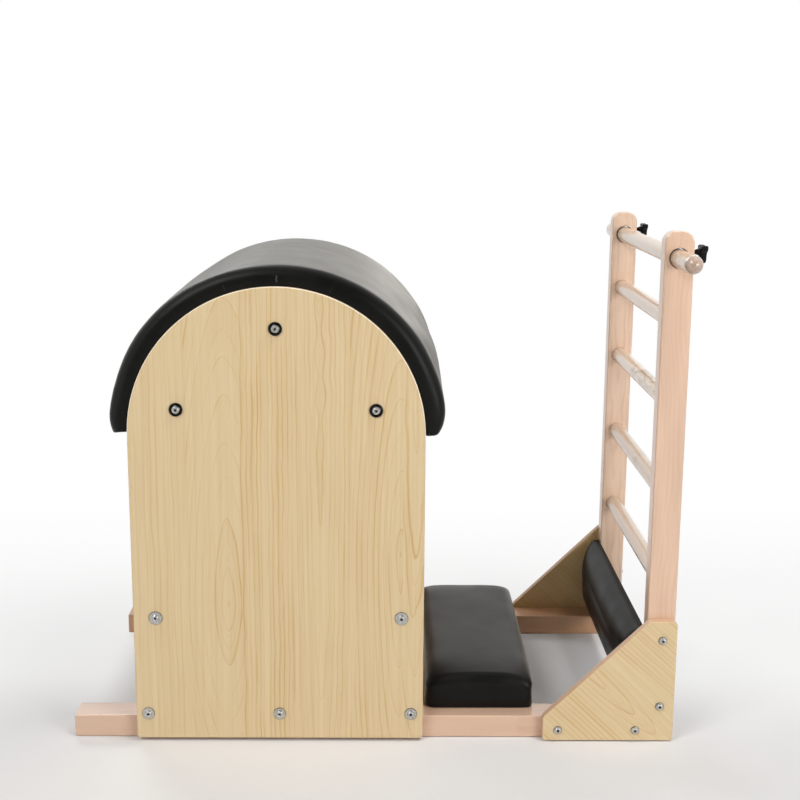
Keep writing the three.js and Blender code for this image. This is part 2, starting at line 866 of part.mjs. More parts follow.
addSide(-1, 'near');
addSide(1, 'far');
addBarrel();
addSeat();
addRungs();
addKickPad();

const ladderBarrel = new THREE.Group();
ladderBarrel.add(assembly);

export default ladderBarrel;
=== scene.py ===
"""Pilates ladder barrel: the visible pieces, their finishes and the studio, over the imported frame.

Sizes are in millimetres, measured along X from the dome's axis, as in the shop drawing, and
`at` turns them into metres of the row's frame.
"""

import logging
import math
import random
from dataclasses import dataclass, field
from enum import Enum
from typing import Callable, Sequence

import bmesh
import bpy
from mathutils import Matrix, Vector


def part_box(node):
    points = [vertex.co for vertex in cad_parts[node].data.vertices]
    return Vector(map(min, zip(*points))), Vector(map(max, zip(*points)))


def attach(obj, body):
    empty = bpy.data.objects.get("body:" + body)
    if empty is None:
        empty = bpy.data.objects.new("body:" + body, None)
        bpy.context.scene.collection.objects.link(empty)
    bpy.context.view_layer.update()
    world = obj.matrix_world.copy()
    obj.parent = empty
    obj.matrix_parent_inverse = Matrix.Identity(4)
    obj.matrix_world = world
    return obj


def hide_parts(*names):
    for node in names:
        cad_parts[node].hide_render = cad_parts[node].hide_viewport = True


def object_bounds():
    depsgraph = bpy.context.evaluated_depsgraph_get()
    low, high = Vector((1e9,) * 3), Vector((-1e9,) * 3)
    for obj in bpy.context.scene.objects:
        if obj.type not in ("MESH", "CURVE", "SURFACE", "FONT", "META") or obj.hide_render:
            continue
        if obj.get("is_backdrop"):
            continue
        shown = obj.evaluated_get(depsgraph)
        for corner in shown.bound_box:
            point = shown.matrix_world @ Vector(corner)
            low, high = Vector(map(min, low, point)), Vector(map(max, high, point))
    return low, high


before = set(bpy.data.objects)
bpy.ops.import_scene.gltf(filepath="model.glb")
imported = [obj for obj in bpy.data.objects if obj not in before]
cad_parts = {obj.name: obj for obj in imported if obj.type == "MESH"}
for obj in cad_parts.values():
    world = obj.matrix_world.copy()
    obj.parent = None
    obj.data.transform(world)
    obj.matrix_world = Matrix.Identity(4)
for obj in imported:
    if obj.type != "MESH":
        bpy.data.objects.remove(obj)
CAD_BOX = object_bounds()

log = logging.getLogger("ladder_barrel")

MM = 0.001
DOME_TO_ROW = -196.0

# Places that several assemblies share: the dome's centre, the faces of the laminate boards, the
# axis of the bar and the rungs, the middle of the uprights, the screws and the seat's bolts.
SPRING = 616.5
BOARD_FACES = (303.3, 321.3)
BAR_X = 744.5
POST_MIDDLE = 285.0
SCREW_HEIGHT = 961.5
SEAT_BOLT = (394.5, 258.0)
SIDES = (("near", -1), ("far", 1))

Point = tuple[float, float]
Colour = tuple[float, float, float, float]
Counts = tuple[int, int]
Place = Callable[[float, float, float], Vector]
Piece = bpy.types.Object


def at(x: float, y: float, z: float) -> Vector:
    """Turn a place of the shop drawing, in millimetres, into metres of the row's frame."""
    return Vector(((x + DOME_TO_ROW) * MM, y * MM, z * MM))


def paint(code: str) -> Colour:
    """Turn a written colour such as "dcc8a0" into the linear colour that the shaders take."""
    parts = [int(code[i : i + 2], 16) / 255 for i in (0, 2, 4)]
    linear = [c / 12.92 if c <= 0.04045 else ((c + 0.055) / 1.055) ** 2.4 for c in parts]
    return (linear[0], linear[1], linear[2], 1.0)


def quarter(steps: int) -> list[Point]:
    """Cosine and sine at even steps over a quarter turn."""
    angles = [step / steps * math.pi / 2 for step in range(steps + 1)]
    return [(math.cos(angle), math.sin(angle)) for angle in angles]


# ---------------------------------------------------------------- shader writing


def maths(operation: str, swapped: bool = False) -> Callable[..., "Wire"]:
    """Make a method of Wire that adds a Math node.

    Args:
        operation: What the node works out.
        swapped: Whether the wire itself comes after the other value.

    Returns:
        The method.
    """

    def method(self: "Wire", *others: "Wire | float") -> "Wire":
        """Add the node for these values."""
        values = (*others, self) if swapped else (self, *others)
        return self.graph.node("ShaderNodeMath", {"operation": operation}, dict(enumerate(values)))

    return method


class Wire:
    """One output of a shader graph, on which plain arithmetic can be written.

    above gives one over a limit and zero under it, and least never goes under its limit.
    """

    __add__ = __radd__ = maths("ADD")
    __sub__ = maths("SUBTRACT")
    __rsub__ = maths("SUBTRACT", swapped=True)
    __mul__ = __rmul__ = maths("MULTIPLY")
    __truediv__ = maths("DIVIDE")
    __pow__ = maths("POWER")
    __abs__ = maths("ABSOLUTE")
    above = maths("GREATER_THAN")
    floor = maths("FLOOR")
    fraction = maths("FRACT")
    least = maths("MAXIMUM")
    sine = maths("SINE")

    def __init__(self, graph: "Graph", socket: bpy.types.NodeSocket) -> None:
        """Keep the graph and the socket."""
        self.graph = graph
        self.socket = socket

    def spread(self, low: float, high: float, to_low: float = 0.0, to_high: float = 1.0) -> "Wire":
        """Map a span of values smoothly onto another, without passing its ends.

        Args:
            low: Value that becomes to_low.
            high: Value that becomes to_high.
            to_low: Result at and beyond low.
            to_high: Result at and beyond high.

        Returns:
            The mapped value.
        """
        inputs = {0: self, 1: low, 2: high, 3: to_low, 4: to_high}
        return self.graph.node("ShaderNodeMapRange", {"interpolation_type": "SMOOTHSTEP"}, inputs)


Value = Wire | float
Sockets = dict[str, object]


class Graph:
    """The shader graph of one material or world."""

    def __init__(self, owner: bpy.types.Material | bpy.types.World) -> None:
        """Empty the owner's graph."""
        self.owner = owner
        owner.use_nodes = True
        self.tree = owner.node_tree
        self.tree.nodes.clear()

    @classmethod
    def material(cls, name: str) -> "Graph":
        """Start a new material."""
        return cls(bpy.data.materials.new(name))

    def node(
        self,
        kind: str,
        settings: dict[str, object] | None = None,
        inputs: dict[int | str, object] | None = None,
        output: int | str = 0,
    ) -> Wire:
        """Add a node.

        Args:
            kind: The node's type.
            settings: Its properties, set first.
            inputs: Numbers, colours or wires for its sockets.
            output: The socket that the returned wire stands for.

        Returns:
            The wire of that output.
        """
        made = self.tree.nodes.new(kind)
        for name, value in (settings or {}).items():
            setattr(made, name, value)
        for key, value in (inputs or {}).items():
            if isinstance(value, Wire):
                self.tree.links.new(value.socket, made.inputs[key])
            else:
                made.inputs[key].default_value = value
        return Wire(self, made.outputs[output])

    def stairs(self, value: Wire, stops: Sequence[tuple[float, Colour]]) -> Wire:
        """Colours that change in steps along a value from 0 to 1."""
        made = self.node("ShaderNodeValToRGB", {}, {0: value})
        ramp = made.socket.node.color_ramp
        ramp.interpolation = "CONSTANT"
        while len(ramp.elements) < len(stops):
            ramp.elements.new(1.0)
        for element, (place, colour) in zip(ramp.elements, stops):
            element.position = place
            element.color = colour
        return made

    def split(self, vector: Wire, kind: str = "ShaderNodeSeparateXYZ") -> list[Wire]:
        """The three parts of a vector or a colour."""
        outputs = self.node(kind, inputs={0: vector}).socket.node.outputs
        return [Wire(self, outputs[part]) for part in range(3)]

    def place(self) -> list[Wire]:
        """The shop drawing's X, Y and Z of the point that is shaded, in millimetres."""
        spot = self.node("ShaderNodeTexCoord", output="Object")
        inputs = {0: spot, 1: (1000, 1000, 1000), 2: (-DOME_TO_ROW, 0, 0)}
        return self.split(self.node("ShaderNodeVectorMath", {"operation": "MULTIPLY_ADD"}, inputs))

    def sideways(self) -> Wire:
        """How squarely the surface looks to the near or the far side, from 0 to 1."""
        return abs(self.split(self.node("ShaderNodeTexCoord", output="Normal"))[1])

    def rays(self) -> list[Wire]:
        """Whether the ray comes from the camera, off a glossy face, or through something."""
        kinds = ("Camera", "Glossy", "Transmission")
        return [self.node("ShaderNodeLightPath", output=f"Is {kind} Ray") for kind in kinds]

    def vector(self, x: Value, y: Value, z: Value) -> Wire:
        """A vector from three values."""
        return self.node("ShaderNodeCombineXYZ", inputs={0: x, 1: y, 2: z})

    def noise(self, x: Value, y: Value, z: Value, detail: float = 2.0, rough: float = 0.5) -> Wire:
        """Cloudy noise from 0 to 1, one unit across, with finer layers and their strength."""
        spot = self.vector(x, y, z)
        inputs = {"Vector": spot, "Scale": 1.0, "Detail": detail, "Roughness": rough}
        return self.node("ShaderNodeTexNoise", {"noise_dimensions": "3D"}, inputs)

    def mix(
        self, share: Value, first: Wire | Colour, second: Wire | Colour, blend: str = "MIX"
    ) -> Wire:
        """Blend two colours, from the first alone at 0 to the second at 1."""
        settings = {"data_type": "RGBA", "blend_type": blend}
        return self.node("ShaderNodeMix", settings, {0: share, 6: first, 7: second}, output=2)

    def shade(self, colour: Wire, factor: Wire) -> Wire:
        """Make a colour lighter or darker by a factor."""
        grey = self.node("ShaderNodeCombineColor", inputs={0: factor, 1: factor, 2: factor})
        return self.mix(1.0, colour, grey, "MULTIPLY")

    def line(self, step: Wire, steep: Wire, half: float) -> Wire:
        """A growth line of even width, wherever its rings lie close or far apart.

        Args:
            step: Place between two rings, from 0 to 1.
            steep: How fast the rings follow each other, per millimetre.
            half: Half the line's width, in millimetres.

        Returns:
            1 on the line and 0 beside it.
        """
        gap = 0.5 - abs(step - 0.5)
        return (gap / steep).spread(half * 0.25, half, 1.0, 0.0)

    def bump(self, height: Wire, depth: float, strength: float = 1.0) -> Wire:
        """Surface relief of a depth in millimetres."""
        inputs = {"Height": height, "Distance": depth * MM, "Strength": strength}
        return self.node("ShaderNodeBump", {}, inputs)

    def surface(self, sockets: Sockets) -> bpy.types.Material:
        """Close the graph with a Principled shader; underscores stand for spaces in the names."""
        inputs = {name.replace("_", " "): value for name, value in sockets.items()}
        self.close(self.node("ShaderNodeBsdfPrincipled", {}, inputs))
        return self.owner

    def close(self, shader: Wire, kind: str = "ShaderNodeOutputMaterial") -> None:
        """Link a shader to the output of the material or the world."""
        end = self.tree.nodes.new(kind)
        self.tree.links.new(shader.socket, end.inputs[0])


# ---------------------------------------------------------------- finishes


@dataclass(frozen=True)
class Finish:
    """A material that is written from the place on the object."""

    name: str

    def make(self) -> bpy.types.Material:
        """Write the material."""
        graph = Graph.material(self.name)
        return graph.surface(self.sockets(graph, *graph.place()))

    def sockets(self, g: Graph, x: Wire, y: Wire, z: Wire) -> Sockets:
        """Write what the shader's sockets take, by their names.

        Args:
            g: The graph that is written.
            x: The shop drawing's place, in three directions.
            y: The second.
            z: The third.

        Returns:
            Values and wires.
        """
        raise NotImplementedError


@dataclass(frozen=True)
class Stave:
    """One strip of a board's figure, whose lines are rings around a point of the strip's axis."""

    start: float
    axis: float
    spacing: float
    centre: float
    above: float
    below: float
    islands: float
    bend: float
    lean: float
    depth: float


STAVE_SPANS = {
    "axis": (-600, 600),
    "spacing": (0, 40),
    "centre": (-800, 1200),
    "above": (0, 2000),
    "below": (0, 2000),
    "islands": (0, 8),
    "bend": (0, 40),
    "lean": (-0.6, 0.6),
    "depth": (0, 2),
}


@dataclass(frozen=True)
class Laminate(Finish):
    """Pale board with printed figure and plain wood edges; a lighter arris colour over the dome is a
    painted highlight.
    """

    staves: tuple[Stave, ...]
    origin: Point = (0.0, 0.0)
    turn: float = 0.0
    reach: float = 300.0
    ground: str = "ddc8a2"
    latewood: str = "c7a163"
    edge: str = "dcbb9c"
    # arris: colour of the rounded arris above the height dome; where it is lighter than the edge, as
    # on the panels, it is a painted highlight.
    arris: str = "dcbb9c"
    layer: str = "cda685"
    dome: float = 2000.0
    shape: float = 1.75
    seed: float = 0.0

    def _stave_sizes(self, g: Graph, across: Wire) -> list[Wire]:
        """Read the sizes of the stave at a place across the board, three to a ramp.

        Args:
            g: The graph that is written.
            across: The place across the board, in millimetres.

        Returns:
            The sizes, in the order of STAVE_SPANS.
        """
        value = (across + self.reach) / (2 * self.reach)
        names = list(STAVE_SPANS)
        sizes: list[Wire] = []
        for first in range(0, len(names), 3):
            three = [(name, *STAVE_SPANS[name]) for name in names[first : first + 3]]
            stops = []
            for stave in self.staves:
                shares = [(getattr(stave, name) - low) / (high - low) for name, low, high in three]
                place = (stave.start + self.reach) / (2 * self.reach)
                stops.append((min(max(place, 0.0), 1.0), (*shares, 1.0)))
            parts = g.split(g.stairs(value, stops), "ShaderNodeSeparateColor")
            sizes += [part * (high - low) + low for part, (_, low, high) in zip(parts, three)]
        return sizes

    def sockets(self, g: Graph, x: Wire, y: Wire, z: Wire) -> Sockets:
        """Write the growth lines, the fibre and the plain edges."""
        cos, sin = math.cos(self.turn), math.sin(self.turn)
        across = (x - self.origin[0]) * cos + (z - self.origin[1]) * sin
        along = (z - self.origin[1]) * cos - (x - self.origin[0]) * sin
        sizes = self._stave_sizes(g, across)
        axis, spacing, centre, upper, lower, islands, bend, lean, depth = sizes

        # Rings around the stave's axis that close above and below it, with islands between them.
        rise = along - centre
        wander = g.noise(axis / 37 + self.seed, across / 75, along / 150, 3.0) - 0.5
        offset = across - axis + lean * rise + wander * bend * 3
        ring = abs(offset) / spacing
        loops = abs((rise * (math.pi / 98) + wander * 3).sine()) * islands
        loops = loops * abs(rise).spread(90, 260, 1.0, 0.0)
        close = rise.least(0) / upper + (0 - rise).least(0) / lower + loops
        shape = self.shape
        smooth = (ring**shape + close**shape) ** (1 / shape) + wander * 0.5
        uneven = g.noise(smooth * 0.62, axis / 17, self.seed) - 0.5
        field = smooth + uneven * 1.6

        # How fast the rings follow each other, so that every line keeps its width.
        rising = rise.above(0)
        steep_across = (ring / smooth) ** (shape - 1) / spacing
        steep_along = (close / smooth) ** (shape - 1) * (rising / upper + (1 - rising) / lower)
        steep = (steep_across**2 + steep_along**2) ** 0.5
        step = field.fraction()
        latewood = g.line(step, steep, 1.8)
        minor = g.line((field * 3.0 + 0.37).fraction(), steep * 3, 1.2)
        weight = g.noise(field.floor() * 1.37, axis / 13, 0.5, 0.0)
        fade = g.noise(across / 26, y / 90, along / 210 + self.seed)
        strength = depth * fade.spread(0.30, 0.68, 0.3, 1.0) * weight.spread(0.3, 0.65, 0.3, 1.0)
        fibre = g.noise(across / 0.9, y / 3, along / 55, 3.0, 0.7)
        streak = g.noise(across / 7, y / 40, along / 420 + self.seed, 3.0, 0.6)
        pores = g.noise(across / 0.55, y / 2, along / 9, 1.0).spread(0.66, 0.76) * 0.08

        # The face: the lines over a streaked ground.
        lines = (latewood * 0.64 + step * 0.16 + minor * 0.16) * strength + pores
        warm = lines + streak.spread(0.25, 0.75, 0.19, 0.0) + fibre.spread(0.25, 0.75, 0.12, 0.0)
        tone = streak.spread(0.25, 0.75, 0.98, 1.015) * fibre.spread(0.25, 0.75, 0.985, 1.01)
        colour = g.shade(g.mix(warm, paint(self.ground), paint(self.latewood)), tone)

        # The edges are plain, and the rounded arris of the dome is painted lighter: a painted
        # highlight where it catches the light.
        flat = g.sideways()
        ply = g.mix(g.noise(x / 60, y / 0.9, z / 60), paint(self.edge), paint(self.layer))
        edge = g.shade(ply, fibre.spread(0.2, 0.8, 0.97, 1.03))
        colour = g.mix(flat.spread(0.55, 0.8, 1.0, 0.0), colour, edge)
        # Mask of the dome's rounded arris, which takes the painted highlight.
        worn_and_lit = flat.spread(0.1, 0.3) * flat.spread(0.93, 0.99, 1.0, 0.0)
        worn_and_lit = worn_and_lit * z.spread(self.dome, self.dome + 30)
        return {
            "Base_Color": g.mix(worn_and_lit, colour, paint(self.arris)),
            "Roughness": lines.spread(0, 1, 0.42, 0.52),
            "Specular_IOR_Level": 0.4,
            "Normal": g.bump(fibre * 0.7 + lines * 0.3, 0.03, 0.5),
        }


class Run(Enum):
    """The direction in which a stick's grain runs."""

    LENGTH = "X"
    WIDTH = "Y"
    HEIGHT = "Z"


@dataclass(frozen=True)
class Timber(Finish):
    """Lacquered beech, with growth lines and small dark flecks along the grain."""

    run: Run
    ground: str = "d8b69c"
    line: str = "b98b6b"
    heart: Point = (24.0, 0.0)
    spacing: float = 7.0
    gloss: float = 0.32
    coat: float = 0.5
    depth: float = 0.4
    bore: Point = (0.0, -1000.0)
    bore_reach: Point = (18.9, 19.7)
    bore_shade: str = "4a3526"
    seed: float = 0.0

    def sockets(self, g: Graph, x: Wire, y: Wire, z: Wire) -> Sockets:
        """Write the timber; the wall of a drilled hole is painted dark as painted shade."""
        runs = {Run.LENGTH: (x, y, z), Run.WIDTH: (y, x, z), Run.HEIGHT: (z, x, y)}
        along, first, second = runs[self.run]
        drift = g.noise(self.seed, first / 160, along / 190) - 0.5
        sway = g.noise(self.seed + 5, second / 160, along / 330) - 0.5
        u = first - self.heart[0] + drift * 34
        v = second - self.heart[1] + sway * 60
        step = ((u * u + v * v) ** 0.5 / self.spacing + drift * 0.8).fraction()
        fade = g.noise(first / 18, second / 18, along / 160 + self.seed)
        crest = step.spread(0.5, 0.9) * step.spread(0.9, 1.0, 1.0, 0.0)
        lines = (crest * 0.7 + step * 0.2) * fade.spread(0.3, 0.65, 0.2, 1.0) * self.depth
        fibre = g.noise(first / 0.8, second / 0.8, along / 30 + self.seed, 3.0, 0.7)
        flecks = g.noise(first / 0.7, second / 0.7, along / 3.2, 1.0).spread(0.68, 0.76) * 0.32
        cloud = g.noise(first / 22, second / 22, along / 240 + self.seed)
        tone = cloud.spread(0.25, 0.75, 0.95, 1.05) * fibre.spread(0.25, 0.75, 0.965, 1.03)
        # Painted shade: the wall of the hole for the bar is painted dark brown.
        drilled = ((x - self.bore[0]) ** 2 + (z - self.bore[1]) ** 2) ** 0.5
        colour = g.mix(lines + flecks, paint(self.ground), paint(self.line))
        colour = g.mix(drilled.spread(*self.bore_reach, 0.85, 0.0), colour, paint(self.bore_shade))
        return {
            "Base_Color": g.shade(colour, tone),
            "Roughness": cloud.spread(0.3, 0.7, self.gloss, self.gloss + 0.08),
            "Specular_IOR_Level": 0.5,
            "Coat_Weight": self.coat,
            "Coat_Roughness": 0.14,
            "Normal": g.bump(fibre * 0.6 + flecks, 0.04, 0.5),
        }


@dataclass(frozen=True)
class Dowel(Finish):
    """Turned hardwood under a clear gloss, with a stained figure where a rung shows one."""

    height: float
    reach: float = 800.0
    ground: str = "dcc5ad"
    line: str = "bb987a"
    stain: str = "8a7048"
    stains: tuple[tuple[float, float, float], ...] = ()
    end_grain: tuple[str, str] = ("b9a190", "a88c77")
    depth: float = 0.5
    seed: float = 0.0

    def sockets(self, g: Graph, x: Wire, y: Wire, z: Wire) -> Sockets:
        """Write the dowel; stains hold a middle, a half length and a strength."""
        u = x - BAR_X
        v = z - self.height
        drift = g.noise(self.seed, u / 30, y / 130) - 0.5
        step = (((u + 14 + drift * 18) ** 2 + (v - 30 + drift * 16) ** 2) ** 0.5 / 5.5).fraction()
        fibre = g.noise(u / 1.6, v / 1.6, y / 45 + self.seed, 2.0, 0.6)
        lines = (step**5 * 0.6 + step * 0.25) * self.depth
        colour = g.mix(lines, paint(self.ground), paint(self.line))
        blotch = g.noise(u / 11, v / 11, y / 36 + self.seed)
        for middle, half, share in self.stains:
            zone = abs(y - middle).spread(half * 0.5, half, 1.0, 0.0)
            colour = g.mix(zone * blotch.spread(0.4, 0.68) * share, colour, paint(self.stain))
        end = abs(y).spread(self.reach - 16, self.reach - 4)
        pith = ((u * u + v * v) ** 0.5 / 2.6 + drift * 2).sine()
        sawn = g.mix(pith * 0.25 + 0.25, *map(paint, self.end_grain))
        colour = g.mix(end, colour, sawn)
        return {
            "Base_Color": g.shade(colour, fibre.spread(0.25, 0.75, 0.965, 1.03)),
            "Roughness": blotch.spread(0.3, 0.7, 0.3, 0.36),
            "Specular_IOR_Level": 0.5,
            "Coat_Weight": 0.8,
            "Coat_Roughness": 0.07,
            "Normal": g.bump(g.noise(u / 14, v / 14, y / 70, 0.0), 0.05, 0.2),
        }


@dataclass(frozen=True)
class Vinyl(Finish):
    """Black upholstery vinyl with a fine pebbled grain and a satin face."""

    ground: str = "050504"
    worn_and_lit: str = "0a0a08"
    crease_highlight: str = "8a8a84"
    crease_span: Point = (-292.0, -280.0)
    rough: float = 0.4
    shine: float = 0.16
    sheen: float = 0.1
    crease_highlights: tuple[tuple[float, float, float, float], ...] = ()

    def sockets(self, g: Graph, x: Wire, y: Wire, z: Wire) -> Sockets:
        """Write the vinyl; each painted highlight along a fold holds an angle, a radius, a half
        length and a strength.
        """
        inputs = {"Vector": g.vector(x, y, z), "Scale": 0.95, "Smoothness": 0.6}
        cell = g.node("ShaderNodeTexVoronoi", {"feature": "SMOOTH_F1"}, inputs)
        pebble = g.noise(x / 0.6, y / 0.6, z / 0.6)
        cloud = g.noise(x / 60, y / 60, z / 60, 3.0)
        colour = g.mix(cloud.spread(0.3, 0.7), paint(self.ground), paint(self.worn_and_lit))
        bend = (g.noise(x / 9, y / 9, z / 9, 1.0) - 0.5) * 4
        # Painted highlights: light grey lines along the folds of the near face, where their ridges
        # catch the light.
        for degrees, radius, half, strength in self.crease_highlights:
            cos, sin = math.cos(math.radians(degrees)), math.sin(math.radians(degrees))
            high = z - SPRING
            along = abs(x * cos + high * sin - radius).spread(half * 0.4, half, 1.0, 0.0)
            beside = abs(high * cos - x * sin + bend).spread(0.3, 2.0, 1.0, 0.0)
            ridge_highlight = along * beside * y.spread(*self.crease_span, 1.0, 0.0) * strength
            colour = g.mix(ridge_highlight, colour, paint(self.crease_highlight))
        return {
            "Base_Color": colour,
            "Roughness": cloud.spread(0.3, 0.7, self.rough - 0.03, self.rough + 0.04),
            "Specular_IOR_Level": self.shine,
            "Sheen_Weight": self.sheen,
            "Sheen_Roughness": 0.3,
            "Sheen_Tint": paint("fffaf0"),
            "Normal": g.bump(cell * 0.7 + pebble * 0.3, 0.04, 0.2),
        }


@dataclass(frozen=True)
class Plywood(Finish):
    """Sheet with veneers at its edges; a bent sheet is layered around the dome's axis."""

    bent: bool = False
    ground: str = "d3b993"
    line: str = "c2a57c"
    layer: str = "a98760"
    veneer: float = 3.0

    def sockets(self, g: Graph, x: Wire, y: Wire, z: Wire) -> Sockets:
        """Write the sheet."""
        if self.bent:
            layer = (x * x + (z - SPRING).least(0) ** 2) ** 0.5
            fibre = g.noise(layer / 2, y / 60, (x + z) / 3, 3.0, 0.6)
        else:
            layer = z
            fibre = g.noise(x / 1.2, y / 70, z / 2, 3.0, 0.6)
        veneers = (layer / self.veneer).fraction().spread(0.42, 0.58)
        lines = g.noise(x / 14, y / 260, z / 14, 4.0, 0.6).spread(0.35, 0.7)
        face = g.mix(lines, paint(self.ground), paint(self.line))
        colour = g.mix(g.sideways().spread(0.5, 0.8) * veneers, face, paint(self.layer))
        return {
            "Base_Color": g.shade(colour, fibre.spread(0.25, 0.75, 0.93, 1.05)),
            "Roughness": fibre.spread(0.3, 0.7, 0.55, 0.65),
            "Normal": g.bump(fibre, 0.08, 0.5),
        }


@dataclass(frozen=True)
class Metal(Finish):
    """Plated steel, lightly brushed and smudged."""

    ground: str
    worn_and_lit: str
    rough: float = 0.26

    def sockets(self, g: Graph, x: Wire, y: Wire, z: Wire) -> Sockets:
        """Write the metal."""
        smudge = g.noise(x / 3, y / 3, z / 3, 3.0)
        return {
            "Base_Color": g.mix(smudge.spread(0.35, 0.7), paint(self.ground), paint(self.worn_and_lit)),
            "Metallic": 1.0,
            "Roughness": smudge.spread(0.3, 0.7, self.rough, self.rough + 0.12),
            "Normal": g.bump(g.noise(x / 1.1, y / 4, z / 1.1), 0.01, 0.2),
        }


@dataclass(frozen=True)
class Moulding(Finish):
    """Moulded plastic with a fine spark-eroded texture."""

    ground: str = "050408"
    worn_and_lit: str = "0a090d"
    rough: float = 0.36
    shine: float = 0.18

    def sockets(self, g: Graph, x: Wire, y: Wire, z: Wire) -> Sockets:
        """Write the plastic."""
        cloud = g.noise(x / 8, y / 8, z / 8)
        return {
            "Base_Color": g.mix(cloud.spread(0.3, 0.7), paint(self.ground), paint(self.worn_and_lit)),
            "Roughness": cloud.spread(0.3, 0.7, self.rough, self.rough + 0.1),
            "Specular_IOR_Level": self.shine,
            "Normal": g.bump(g.noise(x / 0.35, y / 0.35, z / 0.35), 0.03, 0.5),
        }


PANEL_STAVES = (
    Stave(-300, -330, 13.0, 1200, 2000, 2000, 0.0, 2.0, 0.0, 0.5),
    Stave(-173, -97, 12.5, 283, 82, 60, 0.0, 3.0, 0.0, 1.1),
    Stave(-71, -330, 9.5, 1200, 2000, 2000, 0.0, 3.5, 0.0, 1.1),
    Stave(30, 82, 9.5, 777, 420, 330, 0.7, 3.0, 0.0, 0.85),
    Stave(138, 234, 10.5, 383, 78, 110, 0.1, 3.5, 0.0, 0.95),
    Stave(239, 264, 9.0, 640, 260, 130, 0.2, 7.0, 0.0, 1.2),
)
GUSSET_STAVES = (
    Stave(-300, -340, 9.0, 900, 2000, 2000, 0.0, 2.5, 0.0, 1.0),
    Stave(-34, 2, 9.5, 120, 90, 60, 0.0, 3.0, 0.0, 1.1),
    Stave(42, 340, 26.0, 900, 2000, 2000, 0.0, 2.0, 0.0, 0.35),
    Stave(62, 340, 8.0, 900, 2000, 2000, 0.0, 3.0, 0.05, 0.7),
)
GUSSET_LAY = {"origin": (689, 61), "turn": math.radians(46)}
# The panels' arris above the dome height is painted a light cream: a painted highlight.
PANEL_LIT_ARRIS = {"arris": "fbeed6", "dome": 600.0}
UPRIGHT_BORE = {"bore": (BAR_X, 951.0)}
STOCK = (
    Laminate("panel_laminate", PANEL_STAVES, **PANEL_LIT_ARRIS),
    Laminate("far_panel_laminate", PANEL_STAVES, origin=(30, 260), seed=4.0, **PANEL_LIT_ARRIS),
    Laminate("near_gusset_laminate", GUSSET_STAVES, seed=2.0, **GUSSET_LAY),
    # The far gusset's ground, edge and arris are painted darker than the near gusset's: painted
    # shade, for its inner face lies in shade behind the barrel and the kick pad.
    Laminate(
        "far_gusset_laminate",
        GUSSET_STAVES,
        ground="d2b888",
        edge="c39d77",
        arris="c39d77",
        seed=5.0,
        **GUSSET_LAY,
    ),
    Timber("near_beech_rail", Run.LENGTH, heart=(300, 18), seed=1.0, depth=0.35, coat=0.9),
    # The far rail's ground is painted darker than the near rail's: painted shade, for it lies in
    # shade behind the seat.
    Timber("far_beech_rail", Run.LENGTH, heart=(300, 30), seed=4.0, ground="c39671"),
    Timber(
        "near_beech_upright",
        Run.HEIGHT,
        "dcbaa0",
        heart=(790, -250),
        spacing=6.0,
        depth=0.24,
        seed=7.0,
        **UPRIGHT_BORE,
    ),
    Timber("far_beech_upright", Run.HEIGHT, "e1c2a9", heart=(741, 240), seed=3.0, **UPRIGHT_BORE),
    Timber("beech_runner", Run.LENGTH, heart=(200, 90), seed=11.0, coat=0.0, gloss=0.5),
    Timber("beech_crossbar", Run.WIDTH, heart=(180, 200), seed=9.0, coat=0.0, gloss=0.5),
    Dowel("dowel_bar", 950.3, reach=430.0, seed=2.0, depth=0.35, ground="d3bba2"),
    Dowel("dowel_rung_1", 830.1, seed=4.0, ground="d8bca3"),
    Dowel("dowel_rung_2", 674.0, seed=6.0, stains=((-60.0, 150.0, 0.75), (-215.0, 40.0, 0.8))),
    Dowel("dowel_rung_3", 496.0, seed=8.0, stains=((-35.0, 42.0, 0.5),), ground="c5ae97"),
    Dowel("dowel_rung_4", 318.9, seed=10.0, ground="cfb7a0"),
    Vinyl("black_seat_vinyl", shine=0.21, sheen=0.9, rough=0.42, ground="040403"),
    Vinyl("black_kick_vinyl", shine=0.09, sheen=0.0, rough=0.36),
    Vinyl(
        "black_barrel_vinyl",
        shine=0.17,
        sheen=0.6,
        # Painted highlights along three folds of the pad's near face.
        crease_highlights=((89.2, 294.0, 9.0, 0.22), (108.6, 292.0, 8.0, 0.05), (69.5, 293.0, 8.0, 0.04)),
    ),
    Plywood("bent_plywood", bent=True),
    Plywood("flat_plywood"),
    Metal("zinc_bolt", "d2d2d0", "b0b0ae"),
    # Painted shade for the hex recesses and the washer rims of the bolts.
    Metal("bolt_shade", "4a4a49", "383837", rough=0.45),
    Metal("threaded_insert", "b89f6a", "95805a", rough=0.3),
    Moulding("black_moulding"),
    Moulding("black_cup", ground="030303", worn_and_lit="060606", rough=0.3),
    Moulding("nylon_tip", ground="d9d6cc", worn_and_lit="cbc7ba", rough=0.45, shine=0.5),
)


# ---------------------------------------------------------------- mesh work


class Plane(Enum):
    """The plane of a board's outline; the board's thickness runs along the third direction."""

    XZ = "XZ"
    YZ = "YZ"
    XY = "XY"

    def point(self, a: float, b: float, depth: float) -> Vector:
        """Place a point of the outline at a depth."""
        if self is Plane.XZ:
            return at(a, depth, b)
        if self is Plane.YZ:
            return at(depth, a, b)
        return at(a, b, depth)


